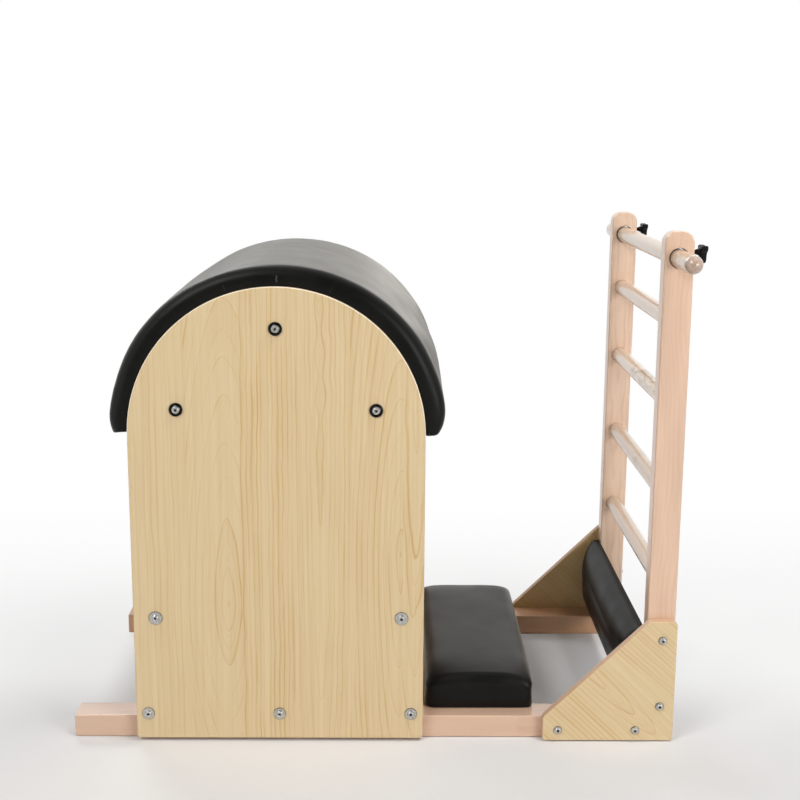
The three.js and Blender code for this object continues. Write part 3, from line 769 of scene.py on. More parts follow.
class Outline:
    """A closed convex outline whose points know which way is out."""

    def __init__(self, points: list[tuple[Point, Point]]) -> None:
        """Keep pairs of a point and its outward direction, counter-clockwise."""
        self.points = points

    @classmethod
    def rounded(cls, corners: Sequence[tuple[float, float, float]], steps: int = 8) -> "Outline":
        """Round the corners of a convex polygon.

        Args:
            corners: x, z and radius of each corner, counter-clockwise.
            steps: Points along each round corner.

        Returns:
            The outline.
        """
        points: list[tuple[Point, Point]] = []
        count = len(corners)
        for i, (x, z, radius) in enumerate(corners):
            here = Vector((x, z))
            before = (here - Vector(corners[i - 1][:2])).normalized()
            after = (Vector(corners[(i + 1) % count][:2]) - here).normalized()
            first = Vector((before.y, -before.x))
            last = Vector((after.y, -after.x))
            centre = here - (first + last) * (radius / (1 + first.dot(last)))
            turn = math.atan2(first.x * last.y - first.y * last.x, first.dot(last))
            start = math.atan2(first.y, first.x)
            for step in range(steps + 1):
                angle = start + turn * step / steps
                out = (math.cos(angle), math.sin(angle))
                points.append(((centre.x + radius * out[0], centre.y + radius * out[1]), out))
        return cls(points)

    @classmethod
    def rectangle(cls, a: Point, b: Point, radius: float) -> "Outline":
        """A rectangle with round corners between two spans."""
        corners = [(a[0], b[0]), (a[1], b[0]), (a[1], b[1]), (a[0], b[1])]
        return cls.rounded([(x, z, radius) for x, z in corners], 4)

    @classmethod
    def tombstone(cls, radius: float, foot: float, spring: float, corner: float) -> "Outline":
        """A board with a half-round head.

        Args:
            radius: Of the head.
            foot: Height of its lower edge.
            spring: Height of the head's centre.
            corner: Radius of the lower corners.

        Returns:
            The outline.
        """
        points: list[tuple[Point, Point]] = []
        arcs = (
            (-radius + corner, foot + corner, corner, -math.pi, math.pi / 2, 6),
            (radius - corner, foot + corner, corner, -math.pi / 2, math.pi / 2, 6),
            (0.0, spring, radius, 0.0, math.pi, 120),
        )
        for x, z, reach, start, turn, steps in arcs:
            for angle in (start + step / steps * turn for step in range(steps + 1)):
                out = (math.cos(angle), math.sin(angle))
                points.append(((x + reach * out[0], z + reach * out[1]), out))
        return cls(points)

    def inset(self, distance: float) -> list[Point]:
        """The outline drawn in by a distance."""
        return [(x - distance * u, z - distance * w) for (x, z), (u, w) in self.points]


class Bench:
    """Mesh work that every sub-assembly shares."""

    @staticmethod
    def piece(name: str, points: Sequence[Vector], faces: Sequence[Sequence[int]]) -> Piece:
        """Make a closed mesh object.

        Args:
            name: The piece's name.
            points: Its vertices, in metres.
            faces: Its faces.

        Returns:
            The object, with its faces turned outward.
        """
        mesh = bpy.data.meshes.new(name)
        mesh.from_pydata([tuple(p) for p in points], [], [list(f) for f in faces])
        work = bmesh.new()
        work.from_mesh(mesh)
        bmesh.ops.remove_doubles(work, verts=work.verts, dist=1e-7)
        bmesh.ops.recalc_face_normals(work, faces=work.faces)
        work.to_mesh(mesh)
        work.free()
        made = bpy.data.objects.new(name, mesh)
        bpy.context.scene.collection.objects.link(made)
        return made

    @staticmethod
    def loft(name: str, rings: Sequence[Sequence[Vector]], capped: bool = True) -> Piece:
        """Join rings of equal length into one skin.

        Args:
            name: The piece's name.
            rings: The rings in order.
            capped: Whether the two ends are closed.

        Returns:
            The object.
        """
        count = len(rings[0])
        points = [p for ring in rings for p in ring]
        faces = []
        for k in range(len(rings) - 1):
            low, high = k * count, (k + 1) * count
            for i in range(count):
                j = (i + 1) % count
                faces.append((low + i, low + j, high + j, high + i))
        if capped:
            faces.append(tuple(reversed(range(count))))
            faces.append(tuple(range((len(rings) - 1) * count, len(rings) * count)))
        return Bench.piece(name, points, faces)

    @staticmethod
    def board(
        name: str, outline: Outline, plane: Plane, span: Point, arris: float, smooth: bool = True
    ) -> Piece:
        """Make a board with rounded arrises.

        Args:
            name: The piece's name.
            outline: Its outline.
            plane: The outline's plane.
            span: Where its two faces lie.
            arris: Radius of the rounded arris.
            smooth: Whether it is shaded now; a board that is cut is shaded afterwards.

        Returns:
            The object.
        """
        levels = [(arris * (1 - sin), arris * (1 - cos)) for cos, sin in quarter(4)]
        low, high = min(span), max(span)
        places = [(i, low + d) for i, d in levels] + [(i, high - d) for i, d in reversed(levels)]
        rings = [[plane.point(a, b, depth) for a, b in outline.inset(i)] for i, depth in places]
        board = Bench.loft(name, rings)
        if smooth:
            Bench.smooth(board)
        return board

    @staticmethod
    def turned(
        name: str,
        profile: Sequence[Point],
        place: Place,
        steps: int = 48,
        hexed: Sequence[int] = (),
    ) -> Piece:
        """Turn a profile about an axis.

        Args:
            name: The piece's name.
            profile: Pairs of radius and distance along the axis.
            place: Turns two sideways distances and one along the axis into a point.
            steps: Facets around.
            hexed: Which pairs lie on a hexagon instead of a circle.

        Returns:
            The object.
        """
        rings = []
        for index, (radius, along) in enumerate(profile):
            ring = []
            for step in range(steps):
                angle = step / steps * 2 * math.pi
                reach = radius
                if index in hexed:
                    corner = angle % (math.pi / 3) - math.pi / 6
                    reach = radius * math.cos(math.pi / 6) / math.cos(corner)
                ring.append(place(reach * math.cos(angle), reach * math.sin(angle), along))
            rings.append(ring)
        return Bench.loft(name, rings)

    @staticmethod
    def cut(body: Piece, tools: Sequence[Piece]) -> None:
        """Cut tools out of a body and remove them.

        Args:
            body: The piece that is cut.
            tools: The solids that are taken away.
        """
        for tool in tools:
            step = body.modifiers.new("cut", "BOOLEAN")
            step.object = tool
            step.operation = "DIFFERENCE"
            step.solver = "EXACT"
        Bench.settle(body)
        for tool in tools:
            bpy.data.objects.remove(tool)

    @staticmethod
    def settle(piece: Piece) -> None:
        """Write what a piece's modifiers make into its mesh, and drop them."""
        graph = bpy.context.evaluated_depsgraph_get()
        result = bpy.data.meshes.new_from_object(piece.evaluated_get(graph))
        piece.modifiers.clear()
        old = piece.data
        piece.data = result
        bpy.data.meshes.remove(old)

    @staticmethod
    def smooth(piece: Piece, degrees: float = 40.0) -> None:
        """Shade smoothly, with sharp edges over an angle and flat faces kept flat."""
        for face in piece.data.polygons:
            face.use_smooth = True
        piece.data.set_sharp_from_angle(angle=math.radians(degrees))
        step = piece.modifiers.new("flat_faces", "WEIGHTED_NORMAL")
        step.keep_sharp = True
        step.weight = 100
        Bench.settle(piece)


class Fitter:
    """Dresses pieces and puts them on the frame."""

    def __init__(self) -> None:
        """Make every finish once, and start counting."""
        self.finishes = {finish.name: finish.make() for finish in STOCK}
        self.count = 0

    def fit(self, piece: Piece, finish: str, body: str, slot: str, *nodes: str) -> None:
        """Dress a new piece and let it stand for its CAD nodes.

        Args:
            piece: The piece.
            finish: Name of its finish.
            body: The body that it moves with.
            slot: The material slot that it belongs to; not used.
            *nodes: The nodes that it stands for.
        """
        if not piece.data.materials:
            piece.data.materials.append(self.finishes[finish])
        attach(piece, body)
        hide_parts(*nodes)
        self.count += 1
        size = [round(side / MM, 1) for side in piece.dimensions]
        faces = len(piece.data.polygons)
        log.info("%s: %s on %s, %d faces, %s mm", piece.name, finish, body, faces, size)

    def keep(self, node: str, finish: str) -> None:
        """Give a CAD node that stays its finish."""
        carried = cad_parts[node]
        carried.data.materials.clear()
        carried.data.materials.append(self.finishes[finish])
        self.count += 1
        log.info("%s: %s, carried over", node, finish)


# ---------------------------------------------------------------- fasteners


class Head(Enum):
    """The kinds of bolt head on the object."""

    PLAIN = "plain"
    CUPPED = "cupped"


@dataclass
class Bolt:
    """Button-head bolt with a washer and a hexagon recess."""

    kind: Head = Head.PLAIN
    washer: float = 12.0
    washer_thick: float = 1.6
    head: float = 7.0
    height: float = 4.2
    recess: float = 2.7
    depth: float = 2.4

    def build(self, name: str, place: Place, twist: float) -> Piece:
        """Make the washer and the head as one piece.

        Args:
            name: The piece's name.
            place: Turns two sideways distances and one outward into a point.
            twist: How far the recess is turned, in radians.

        Returns:
            The piece.
        """
        cos, sin = math.cos(twist), math.sin(twist)
        edge, head, top = self.washer, self.head, self.washer_thick
        # Up the washer, over the cup or straight to the head, over its button and into the recess.
        profile = [(0.01, 0.0), (edge - 0.1, 0.0), (edge, 0.45)]
        profile += [(edge - 0.15, top - 0.25), (edge - 0.6, top)]
        if self.kind is Head.CUPPED:
            base = top - 1.2
            profile += [(edge - 2.4, top + 0.5), (head + 0.9, top - 0.4), (head + 0.2, base)]
        else:
            base = top - 0.05
            profile += [(head + 0.3, top), (head, base)]
        profile.append((head, base + 0.1))
        crest, full = top + self.height, math.radians(68)
        for step in range(7):
            angle = step / 6 * full
            rise = (crest - base - 0.5) * math.sin(angle) / math.sin(full)
            profile.append((head * (0.42 + 0.58 * math.cos(angle) ** 0.8), base + 0.5 + rise))
        first, floor, recess = len(profile), crest - self.depth, self.recess
        profile += [(recess + 0.5, crest), (recess, crest - 0.3), (recess * 0.97, floor)]
        profile += [(0.4, floor - 0.5), (0.02, floor - 0.55)]
        turned = lambda a, b, c: place(a * cos - b * sin, a * sin + b * cos, c)
        return Bench.turned(name, profile, turned, 36, (first, first + 1, first + 2))

    def dress(self, piece: Piece, axis: int) -> None:
        """Give a cup its black finish, paint the recess and the washer's rim dark as painted shade,
        and smooth the piece.

        Args:
            piece: The bolt's mesh.
            axis: The direction along which it stands, 0 to 2.
        """
        for name in ("zinc_bolt", "bolt_shade", "black_cup"):
            piece.data.materials.append(bpy.data.materials[name])
        corners = [v.co for v in piece.data.vertices]
        centre = sum(corners, Vector()) / len(corners)
        for face in piece.data.polygons:
            out = face.center - centre
            out[axis] = 0.0
            away = out.length / MM
            # The hex recess and the washer's outer rim take the dark finish: painted shade.
            if away < self.recess + 0.1:
                face.material_index = 1
            elif away > self.head + 0.15 and self.kind is Head.CUPPED:
                face.material_index = 2
            elif away > self.washer - 0.5:
                face.material_index = 1
        Bench.smooth(piece, 32)


@dataclass
class Fasteners:
    """All bolts that show: where they sit and which way they look."""

    panel_face: float = 321.6
    kick_face: float = 772.3
    kick_height: float = 144.0
    seat_face: float = 8.7

    def build(self, fitter: Fitter) -> None:
        """Make and fit every bolt.

        Args:
            fitter: Dresses the pieces.
        """
        chance = random.Random(12)
        small = Bolt(washer=8.3, washer_thick=1.2, head=6.6, recess=2.6)
        tiny = Bolt(Head.PLAIN, 6.5, 0.8, 5.2, 3.0, 2.0, 1.8)
        rows = {
            "dome_bolt": (Bolt(Head.CUPPED, 13.0, 2.4, 7.8), "barrel", ("top", "rear", "front")),
            "crossbar_bolt": (Bolt(washer=13.0, head=7.4), "barrel", ("rear", "front")),
            "runner_bolt": (Bolt(), "barrel", ("rear", "middle", "front")),
            "gusset_bolt": (small, "base", ("high", "low", "front", "rear")),
        }

        def fit(node: str, bolt: Bolt, body: str, place: Place, axis: int) -> None:
            """Make one bolt, which stands along an axis, and fit it for its node."""
            piece = bolt.build(f"{node}_head", place, chance.uniform(0, 1))
            bolt.dress(piece, axis)
            slot = "cup_bolt" if bolt.kind is Head.CUPPED else "steel"
            fitter.fit(piece, "zinc_bolt", body, slot, node)

        for name, side in SIDES:
            for word, (bolt, body, ends) in rows.items():
                for node in (f"{name}_{word}_{end}" for end in ends):
                    lo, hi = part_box(node)
                    x, z = (lo.x + hi.x) / 2 / MM - DOME_TO_ROW, (lo.z + hi.z) / 2 / MM
                    place = lambda a, b, c: at(x + a, side * (self.panel_face + c), z + b)
                    fit(node, bolt, body, place, 1)
            post, seat_x, seat_y = side * POST_MIDDLE, SEAT_BOLT[0], side * SEAT_BOLT[1]
            kick = lambda a, b, c: at(self.kick_face + c, post + a, self.kick_height + b)
            fit(f"{name}_kick_board_bolt", tiny, "base", kick, 0)
            under = lambda a, b, c: at(seat_x + a, seat_y + b, self.seat_face - c)
            fit(f"{name}_seat_bolt", tiny, "base", under, 2)


# ---------------------------------------------------------------- woodwork


@dataclass
class BarrelBody:
    """Side panels, ribs, deck, runners and crossbars of the sliding barrel."""

    radius: float = 280.0
    foot: float = 6.0
    corner: float = 5.0
    arris: float = 2.0
    deck_thick: float = 12.0
    deck_arris: float = 0.8
    deck_steps: int = 120
    half_width: float = 303.0
    runner_width: float = 60.0
    runner_heights: Point = (45.3, 70.3)
    crossbar_place: float = 237.0
    crossbar_half: float = 20.0
    crossbar_heights: Point = (225.0, 285.0)
    crossbar_corner: float = 3.0
    crossbar_arris: float = 1.0

    def build(self, fitter: Fitter) -> None:
        """Make and fit the barrel's boards.

        Args:
            fitter: Dresses the pieces.
        """
        outline = Outline.tombstone(self.radius, self.foot, SPRING, self.corner)
        batten = Outline.rectangle((-self.radius, self.radius), self.runner_heights, self.arris)
        for name, side in SIDES:
            span = (side * BOARD_FACES[0], side * BOARD_FACES[1])
            panel = Bench.board(f"{name}_side_board", outline, Plane.XZ, span, self.arris)
            finish = "panel_laminate" if side < 0 else "far_panel_laminate"
            fitter.fit(panel, finish, "barrel", "laminate", f"{name}_side_panel")
            span = (side * (self.half_width - self.runner_width), side * self.half_width)
            runner = Bench.board(f"{name}_runner_batten", batten, Plane.XZ, span, self.arris)
            fitter.fit(runner, "beech_runner", "barrel", "beech", f"{name}_runner")
            fitter.keep(f"{name}_rib", "flat_plywood")
        span = (-self.half_width, self.half_width)
        for word, end in (("rear", -1), ("front", 1)):
            ends = [end * self.crossbar_place + half * self.crossbar_half for half in (-1, 1)]
            shape = Outline.rectangle(ends, self.crossbar_heights, self.crossbar_corner)
            bar = Bench.board(f"{word}_crossbar_batten", shape, Plane.XZ, span, self.crossbar_arris)
            fitter.fit(bar, "beech_crossbar", "barrel", "beech", f"{word}_crossbar")
        layers = (self.radius - self.deck_thick, self.radius)
        section = Outline.rectangle(span, layers, self.deck_arris).inset(0)
        rings = []
        for angle in (step / self.deck_steps * math.pi for step in range(self.deck_steps + 1)):
            cos, sin = math.cos(angle), math.sin(angle)
            rings.append([at(r * cos, y, SPRING + r * sin) for y, r in section])
        deck = Bench.loft("barrel_deck_sheet", rings)
        Bench.smooth(deck)
        fitter.fit(deck, "bent_plywood", "barrel", "plywood", "barrel_deck")


@dataclass
class BaseFrame:
    """Rails, uprights and gussets.

    A drilled hole holds its radius and its depth, and the tool that cuts it starts past the face.
    """

    rail_span: Point = (-406.0, 772.0)
    rail_height: float = 45.0
    rail_inner: float = 243.0
    half_width: float = 303.0
    upright: Point = (717.0, 772.0)
    upright_inner: float = 267.0
    upright_foot: float = 45.3
    upright_top: float = 1000.0
    upright_round: float = 22.0
    arris: float = 3.0
    board_arris: float = 2.0
    bar_hole_height: float = 951.0
    bar_hole_radius: float = 18.1
    bar_hole_flare: Point = (1.2, 0.6)
    rung_heights: tuple[float, ...] = (830.1, 674.0, 496.0, 318.9)
    rung_socket: Point = (17.3, 20.0)
    insert_hole: Point = (5.8, 40.0)
    bolt_sink: Point = (9.0, 9.0)
    past: float = 5.0
    gusset: tuple[tuple[float, float, float], ...] = (
        (516.0, 2.0, 6.0),
        (773.0, 2.0, 6.0),
        (773.0, 249.5, 10.0),
        (718.5, 249.5, 10.0),
        (516.0, 50.5, 12.0),
    )

    def build(self, fitter: Fitter) -> None:
        """Make and fit the frame's sticks and boards.

        Args:
            fitter: Dresses the pieces.
        """
        gusset = Outline.rounded(self.gusset)
        for name, side in SIDES:
            rail = self._rail(f"{name}_rail_batten", side)
            fitter.fit(rail, f"{name}_beech_rail", "base", "beech", f"{name}_base_rail")
            post = self._upright(f"{name}_upright_post", side)
            fitter.fit(post, f"{name}_beech_upright", "base", "beech", f"{name}_upright")
            span = (side * BOARD_FACES[0], side * BOARD_FACES[1])
            board = Bench.board(f"{name}_gusset_board", gusset, Plane.XZ, span, self.board_arris)
            fitter.fit(board, f"{name}_gusset_laminate", "base", "laminate", f"{name}_gusset")

    def _rail(self, name: str, side: int) -> Piece:
        """Make a rail, with the deep hole for the seat bolt's head."""
        span = sorted((side * self.rail_inner, side * self.half_width))
        shape = Outline.rectangle((span[0], span[1]), (0.0, self.rail_height), self.arris)
        rail = Bench.board(name, shape, Plane.YZ, self.rail_span, self.arris, smooth=False)
        place = lambda a, b, c: at(SEAT_BOLT[0] + a, side * SEAT_BOLT[1] + b, c)
        reach, depth = self.bolt_sink
        Bench.cut(rail, [Bench.turned("sink", [(reach, -self.past), (reach, depth)], place, 32)])
        Bench.smooth(rail)
        return rail

    def _upright(self, name: str, side: int) -> Piece:
        """Make an upright, with its hole for the bar and its sockets for the rungs."""
        left, right = self.upright
        foot, top, bend = self.upright_foot, self.upright_top, self.upright_round
        corners = ((left, foot, 1.5), (right, foot, 1.5), (right, top, bend), (left, top, bend))
        low, high = self.upright_inner, self.half_width
        shape = Outline.rounded(corners, 12)
        span = (side * low, side * high)
        post = Bench.board(name, shape, Plane.XZ, span, self.arris, smooth=False)
        flare, lead = self.bar_hole_flare
        ends = ((flare, low - lead), (0, low + lead), (0, high - lead), (flare, high + lead))
        bar = [(self.bar_hole_radius + wider, depth) for wider, depth in ends]
        reach, depth = self.rung_socket
        socket = [(reach, low - self.past), (reach, low + depth)]
        holes = [(bar, self.bar_hole_height, 64)]
        holes += [(socket, height, 48) for height in self.rung_heights]
        tools = []
        for profile, height, steps in holes:
            place = lambda a, b, c: at(BAR_X + a, side * c, height + b)
            tools.append(Bench.turned("hole", profile, place, steps))
        reach, depth = self.insert_hole
        screw = [(reach, right - depth), (reach, right + self.past)]
        place = lambda a, b, c: at(c, side * POST_MIDDLE + a, SCREW_HEIGHT + b)
        tools.append(Bench.turned("insert_hole", screw, place, 24))
        Bench.cut(post, tools)
        Bench.smooth(post, 32)
        return post


@dataclass
class Ladder:
    """The four rungs and the sliding bar."""

    radius: float = 17.0
    rung_half: float = 287.0
    rung_arris: float = 1.5
    bar_height: float = 950.3
    bar_half: float = 433.0
    length: float = 40.0

    def build(self, fitter: Fitter) -> None:
        """Make and fit the round sticks.

        Args:
            fitter: Dresses the pieces.
        """
        arris = self.rung_arris
        end = [(self.radius - arris, self.rung_half), (self.radius, self.rung_half - arris)]
        for number in range(1, 5):
            lo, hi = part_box(f"rung_{number}")
            rung = self._stick(f"rung_{number}_dowel", end, (lo.z + hi.z) / 2 / MM)
            fitter.fit(rung, f"dowel_rung_{number}", "base", "dowel", f"rung_{number}")
        centre = self.bar_half - self.radius
        cap = [(max(self.radius * s, 0.02), centre + self.radius * c) for c, s in quarter(14)]
        bar = self._stick("top_bar_dowel", cap, self.bar_height)
        fitter.fit(bar, "dowel_bar", "top_bar", "dowel", "top_bar")

    def _stick(self, name: str, end: list[Point], height: float) -> Piece:
        """Turn a stick with two like ends, whose straight part is cut into short lengths.

        Args:
            name: The piece's name.
            end: Pairs of radius and distance from the middle, from the tip inward.
            height: Height of its axis.

        Returns:
            The piece.
        """
        profile = [(r, -d) for r, d in end] + end[::-1]
        fine: list[Point] = []
        for (r0, d0), (r1, d1) in zip(profile, profile[1:]):
            parts = max(1, round(abs(d1 - d0) / self.length))
            for part in range(parts):
                fine.append((r0 + (r1 - r0) * part / parts, d0 + (d1 - d0) * part / parts))
        fine.append(profile[-1])
        stick = Bench.turned(name, fine, lambda a, b, c: at(BAR_X + a, c, height + b), 64)
        Bench.smooth(stick)
        return stick


@dataclass
class HandScrew:
    """Three-lobed knobs that clamp the bar, with their inserts and tips."""

    stud_start: float = 762.9
    stud: float = 3.0
    hub_start: float = 775.5
    head_start: float = 785.0
    head_end: float = 798.0
    radius: float = 21.0
    valley: float = 11.0
    lobes: int = 3
    sharpness: float = 2.5
    arris: float = 3.0
    steps: int = 96

    def build(self, fitter: Fitter) -> None:
        """Make and fit both hand screws.

        Args:
            fitter: Dresses the pieces.
        """
        for name, side in SIDES:
            knob = self._knob(f"{name}_clamp_grip", side)
            body = f"{name}_clamp_knob"
            fitter.fit(knob, "black_moulding", body, "black_plastic", f"{name}_knob")
            fitter.keep(f"{name}_thread_insert", "threaded_insert")
            fitter.keep(f"{name}_pressure_pad", "nylon_tip")

    def _stations(self) -> list[tuple[float, float, float]]:
        """Place along the screw, radius (or inset of the lobed outline) and share of the lobes."""
        hub, head, end, arris = self.hub_start, self.head_start, self.head_end, self.arris
        tip, stud = self.stud_start, self.stud
        stations = [(tip, 0.02, 0.0), (tip, stud - 0.4, 0.0), (tip + 0.5, stud, 0.0)]
        stations += [(hub, stud, 0.0), (hub, stud + 0.5, 0.0), (hub + 0.4, stud + 0.9, 0.0)]
        stations += [(head - 1.6, 6.8, 0.0), (head - 0.3, 8.0, 0.25)]
        stations += [(head + arris * (1 - c), -arris * (1 - s), 1.0) for c, s in quarter(4)]
        stations += [(end - 0.6 - arris * (1 - s), -arris * (1 - c), 1.0) for c, s in quarter(4)]
        return stations + [(end - 0.5, -7.0, 0.8), (end, 4.0, 0.0), (end, 0.02, 0.0)]

    def _knob(self, name: str, side: int) -> Piece:
        """Loft a knob from its stud to its lobed grip."""
        rings = []
        for x, size, share in self._stations():
            ring = []
            for angle in (step / self.steps * 2 * math.pi for step in range(self.steps)):
                lobe = ((1 + math.cos(self.lobes * angle)) / 2) ** self.sharpness
                outer = self.radius - self.valley * (1 - lobe) + min(size, 0.0)
                reach = outer * share + (size if size > 0 else outer) * (1 - share)
                y, z = reach * math.sin(angle), -reach * math.cos(angle)
                ring.append(at(x, side * POST_MIDDLE + y, SCREW_HEIGHT + z))
            rings.append(ring)
        knob = Bench.loft(name, rings)
        Bench.smooth(knob, 45)
        return knob


# ---------------------------------------------------------------- upholstery


class Upholstery:
    """Blows a vinyl skin up over its foam with a short cloth simulation."""

    FRAMES = 20
    ROUNDS = 14
    SHARE = 0.6
    CLOTH = {
        "tension_stiffness": 18,
        "compression_stiffness": 18,
        "shear_stiffness": 8,
        "bending_stiffness": 1.5,
        "quality": 6,
        "mass": 0.4,
        "use_pressure": True,
        "uniform_pressure_force": 4.0,
    }

    @staticmethod
    def swell(piece: Piece, held: Callable[[Vector], bool], cap: float) -> None:
        """Let the skin swell.

        Args:
            piece: The skin, which starts a little smaller than the finished pad.
            held: Says of a vertex whether it is stapled down.
            cap: The most that a vertex may move, in millimetres.
        """
        group = piece.vertex_groups.new(name="stapled")
        group.add([v.index for v in piece.data.vertices if held(v.co)], 1.0, "REPLACE")
        start = [v.co.copy() for v in piece.data.vertices]
        cloth = piece.modifiers.new("vinyl", "CLOTH")
        for name, value in Upholstery.CLOTH.items():
            setattr(cloth.settings, name, value)
        cloth.settings.vertex_group_mass = group.name
        cloth.settings.effector_weights.gravity = 0.0
        cloth.collision_settings.use_collision = False
        cloth.point_cache.frame_start = 1
        cloth.point_cache.frame_end = Upholstery.FRAMES
        scene = bpy.context.scene
        for number in range(1, Upholstery.FRAMES + 1):
            scene.frame_set(number)
        graph = bpy.context.evaluated_depsgraph_get()
        blown = [v.co.copy() for v in piece.evaluated_get(graph).data.vertices]
        piece.modifiers.clear()
        piece.vertex_groups.clear()
        moves = [after - before for before, after in zip(start, blown)]
        moves = [move * min(1.0, cap * MM / max(move.length, 1e-9)) for move in moves]
        for vertex, before, move in zip(piece.data.vertices, start, Upholstery._calm(piece, moves)):
            vertex.co = before + move
        scene.frame_set(1)

    @staticmethod
    def _calm(piece: Piece, moves: list[Vector]) -> list[Vector]:
        """Even out the swelling between neighbours, as thick vinyl over firm foam does.

        Args:
            piece: The skin.
            moves: How far each vertex has moved.

        Returns:
            The calmer moves.
        """
        near: list[list[int]] = [[] for _ in moves]
        for edge in piece.data.edges:
            first, second = edge.vertices
            near[first].append(second)
            near[second].append(first)
        own, shared = 1 - Upholstery.SHARE, Upholstery.SHARE
        for _ in range(Upholstery.ROUNDS):
            means = [sum((moves[i] for i in others), Vector()) / len(others) for others in near]
            moves = [move * own + mean * shared for move, mean in zip(moves, means)]
        return moves

    @staticmethod
    def finish(piece: Piece) -> None:
        """Shade smoothly and add one subdivision."""
        for face in piece.data.polygons:
            face.use_smooth = True
        step = piece.modifiers.new("fine", "SUBSURF")
        step.levels = 1
        step.render_levels = 1
        Bench.settle(piece)


@dataclass
class BarrelPad:
    """The padded half round over the deck.

    A foot holds where it ends above the dome's centre, the depth of the cut that draws it in, the
    cut's length, and how far the outer corner hangs down.
    """

    inner: float = 280.6
    thick: float = 38.2
    half_width: float = 318.5
    edge_round: float = 22.0
    crown: float = 1.5
    draw_in: float = 1.0
    flank: Point = (6.0, 2.2)
    right_foot: tuple[float, float, float, float] = (-8.0, 20.0, 75.0, 5.0)
    left_foot: tuple[float, float, float, float] = (-0.5, 11.0, 45.0, 8.0)
    foot_round: float = 2.0
    stapled: float = 2.0
    around: int = 110
    across: int = 44
    cap: float = 3.5

    def _foot(self, foot: tuple[float, float, float, float]) -> list[tuple[float, float, float]]:
        """Angle, cut and drop of each ring at a foot of the pad."""
        start, depth, length, drop = foot
        middle, parts = self.inner + self.thick / 2, 9
        rings = []
        for share in (step / parts for step in range(parts + 1)):
            fade = (1 - share) ** 3
            rings.append(((start + length * share) / middle, depth * fade, drop * fade))
        return rings

    def _section(self, shrink: float) -> list[Point]:
        """Pairs of y and radius around the section, from a foot over the crown and back."""
        half = self.half_width - shrink * 0.4
        outside = self.inner + self.thick - shrink
        foot, edge, hem = self.foot_round, self.edge_round, half - self.draw_in
        right = [(hem - foot * (1 - s), self.inner + foot * (1 - c)) for c, s in quarter(3)]
        right.append((half, self.inner + (self.thick - edge) / 2))
        right += [(half - edge * (1 - c), outside - edge * (1 - s)) for c, s in quarter(8)]
        shares = [1 - 2 * step / self.across for step in range(1, self.across)]
        top = [((half - edge) * share, outside + self.crown * (1 - share**2)) for share in shares]
        base = [(-(hem - foot) * share, self.inner) for share in shares]
        return right + top + [(-y, r) for y, r in reversed(right)] + base

    def build(self, fitter: Fitter) -> None:
        """Make and fit the pad.

        Args:
            fitter: Dresses the piece.
        """
        places, left = self._foot(self.right_foot), self._foot(self.left_foot)[::-1]
        left = [(math.pi - angle, cut, drop) for angle, cut, drop in left]
        first, last = places[-1][0], left[0][0]
        shares = (step / self.around for step in range(1, self.around))
        places += [(first + (last - first) * share, 0.0, 0.0) for share in shares] + left
        rings = []
        for angle, shrink, drop in places:
            cos, sin = math.cos(angle), math.sin(angle)
            fuller = self.flank[0 if cos > 0 else 1] * 1.3 * cos * cos / (cos * cos + 0.3)
            ring = []
            for y, r in self._section(shrink):
                share = min(max((r - self.inner) / self.thick, 0.0), 1.0)
                r += fuller * share
                ring.append(at(r * cos, y, SPRING + r * sin - drop * share))
            rings.append(ring)
        pad = Bench.loft("barrel_pad_cover", rings)
        axis, deck = at(0, 0, SPRING), (self.inner + self.stapled) * MM
        Upholstery.swell(pad, lambda co: math.hypot(co.x - axis.x, co.z - axis.z) < deck, self.cap)
        self._mark(pad)
        Upholstery.finish(pad)
        fitter.fit(pad, "black_barrel_vinyl", "barrel", "vinyl", "barrel_pad")

    def _mark(self, pad: Piece) -> None:
        """Press the faint ripples of the stretched vinyl into the pad."""
        chance = random.Random(5)
        spans = ((28, 95), (0, 6.28), (0.02, 0.07))
        waves = [[chance.uniform(*span) for span in spans] for _ in range(7)]
        for vertex in pad.data.vertices:
            x = vertex.co.x / MM - DOME_TO_ROW
            z = vertex.co.z / MM - SPRING
            y = vertex.co.y / MM
            away, angle = math.hypot(x, z), math.atan2(z, x)
            top = min(max((away - self.inner - 14) / 16, 0), 1)
            ripple = sum(h * math.sin(n * angle + p + y / 210) for n, p, h in waves)
            vertex.co += Vector((x / away, 0, z / away)) * (ripple * top * MM)


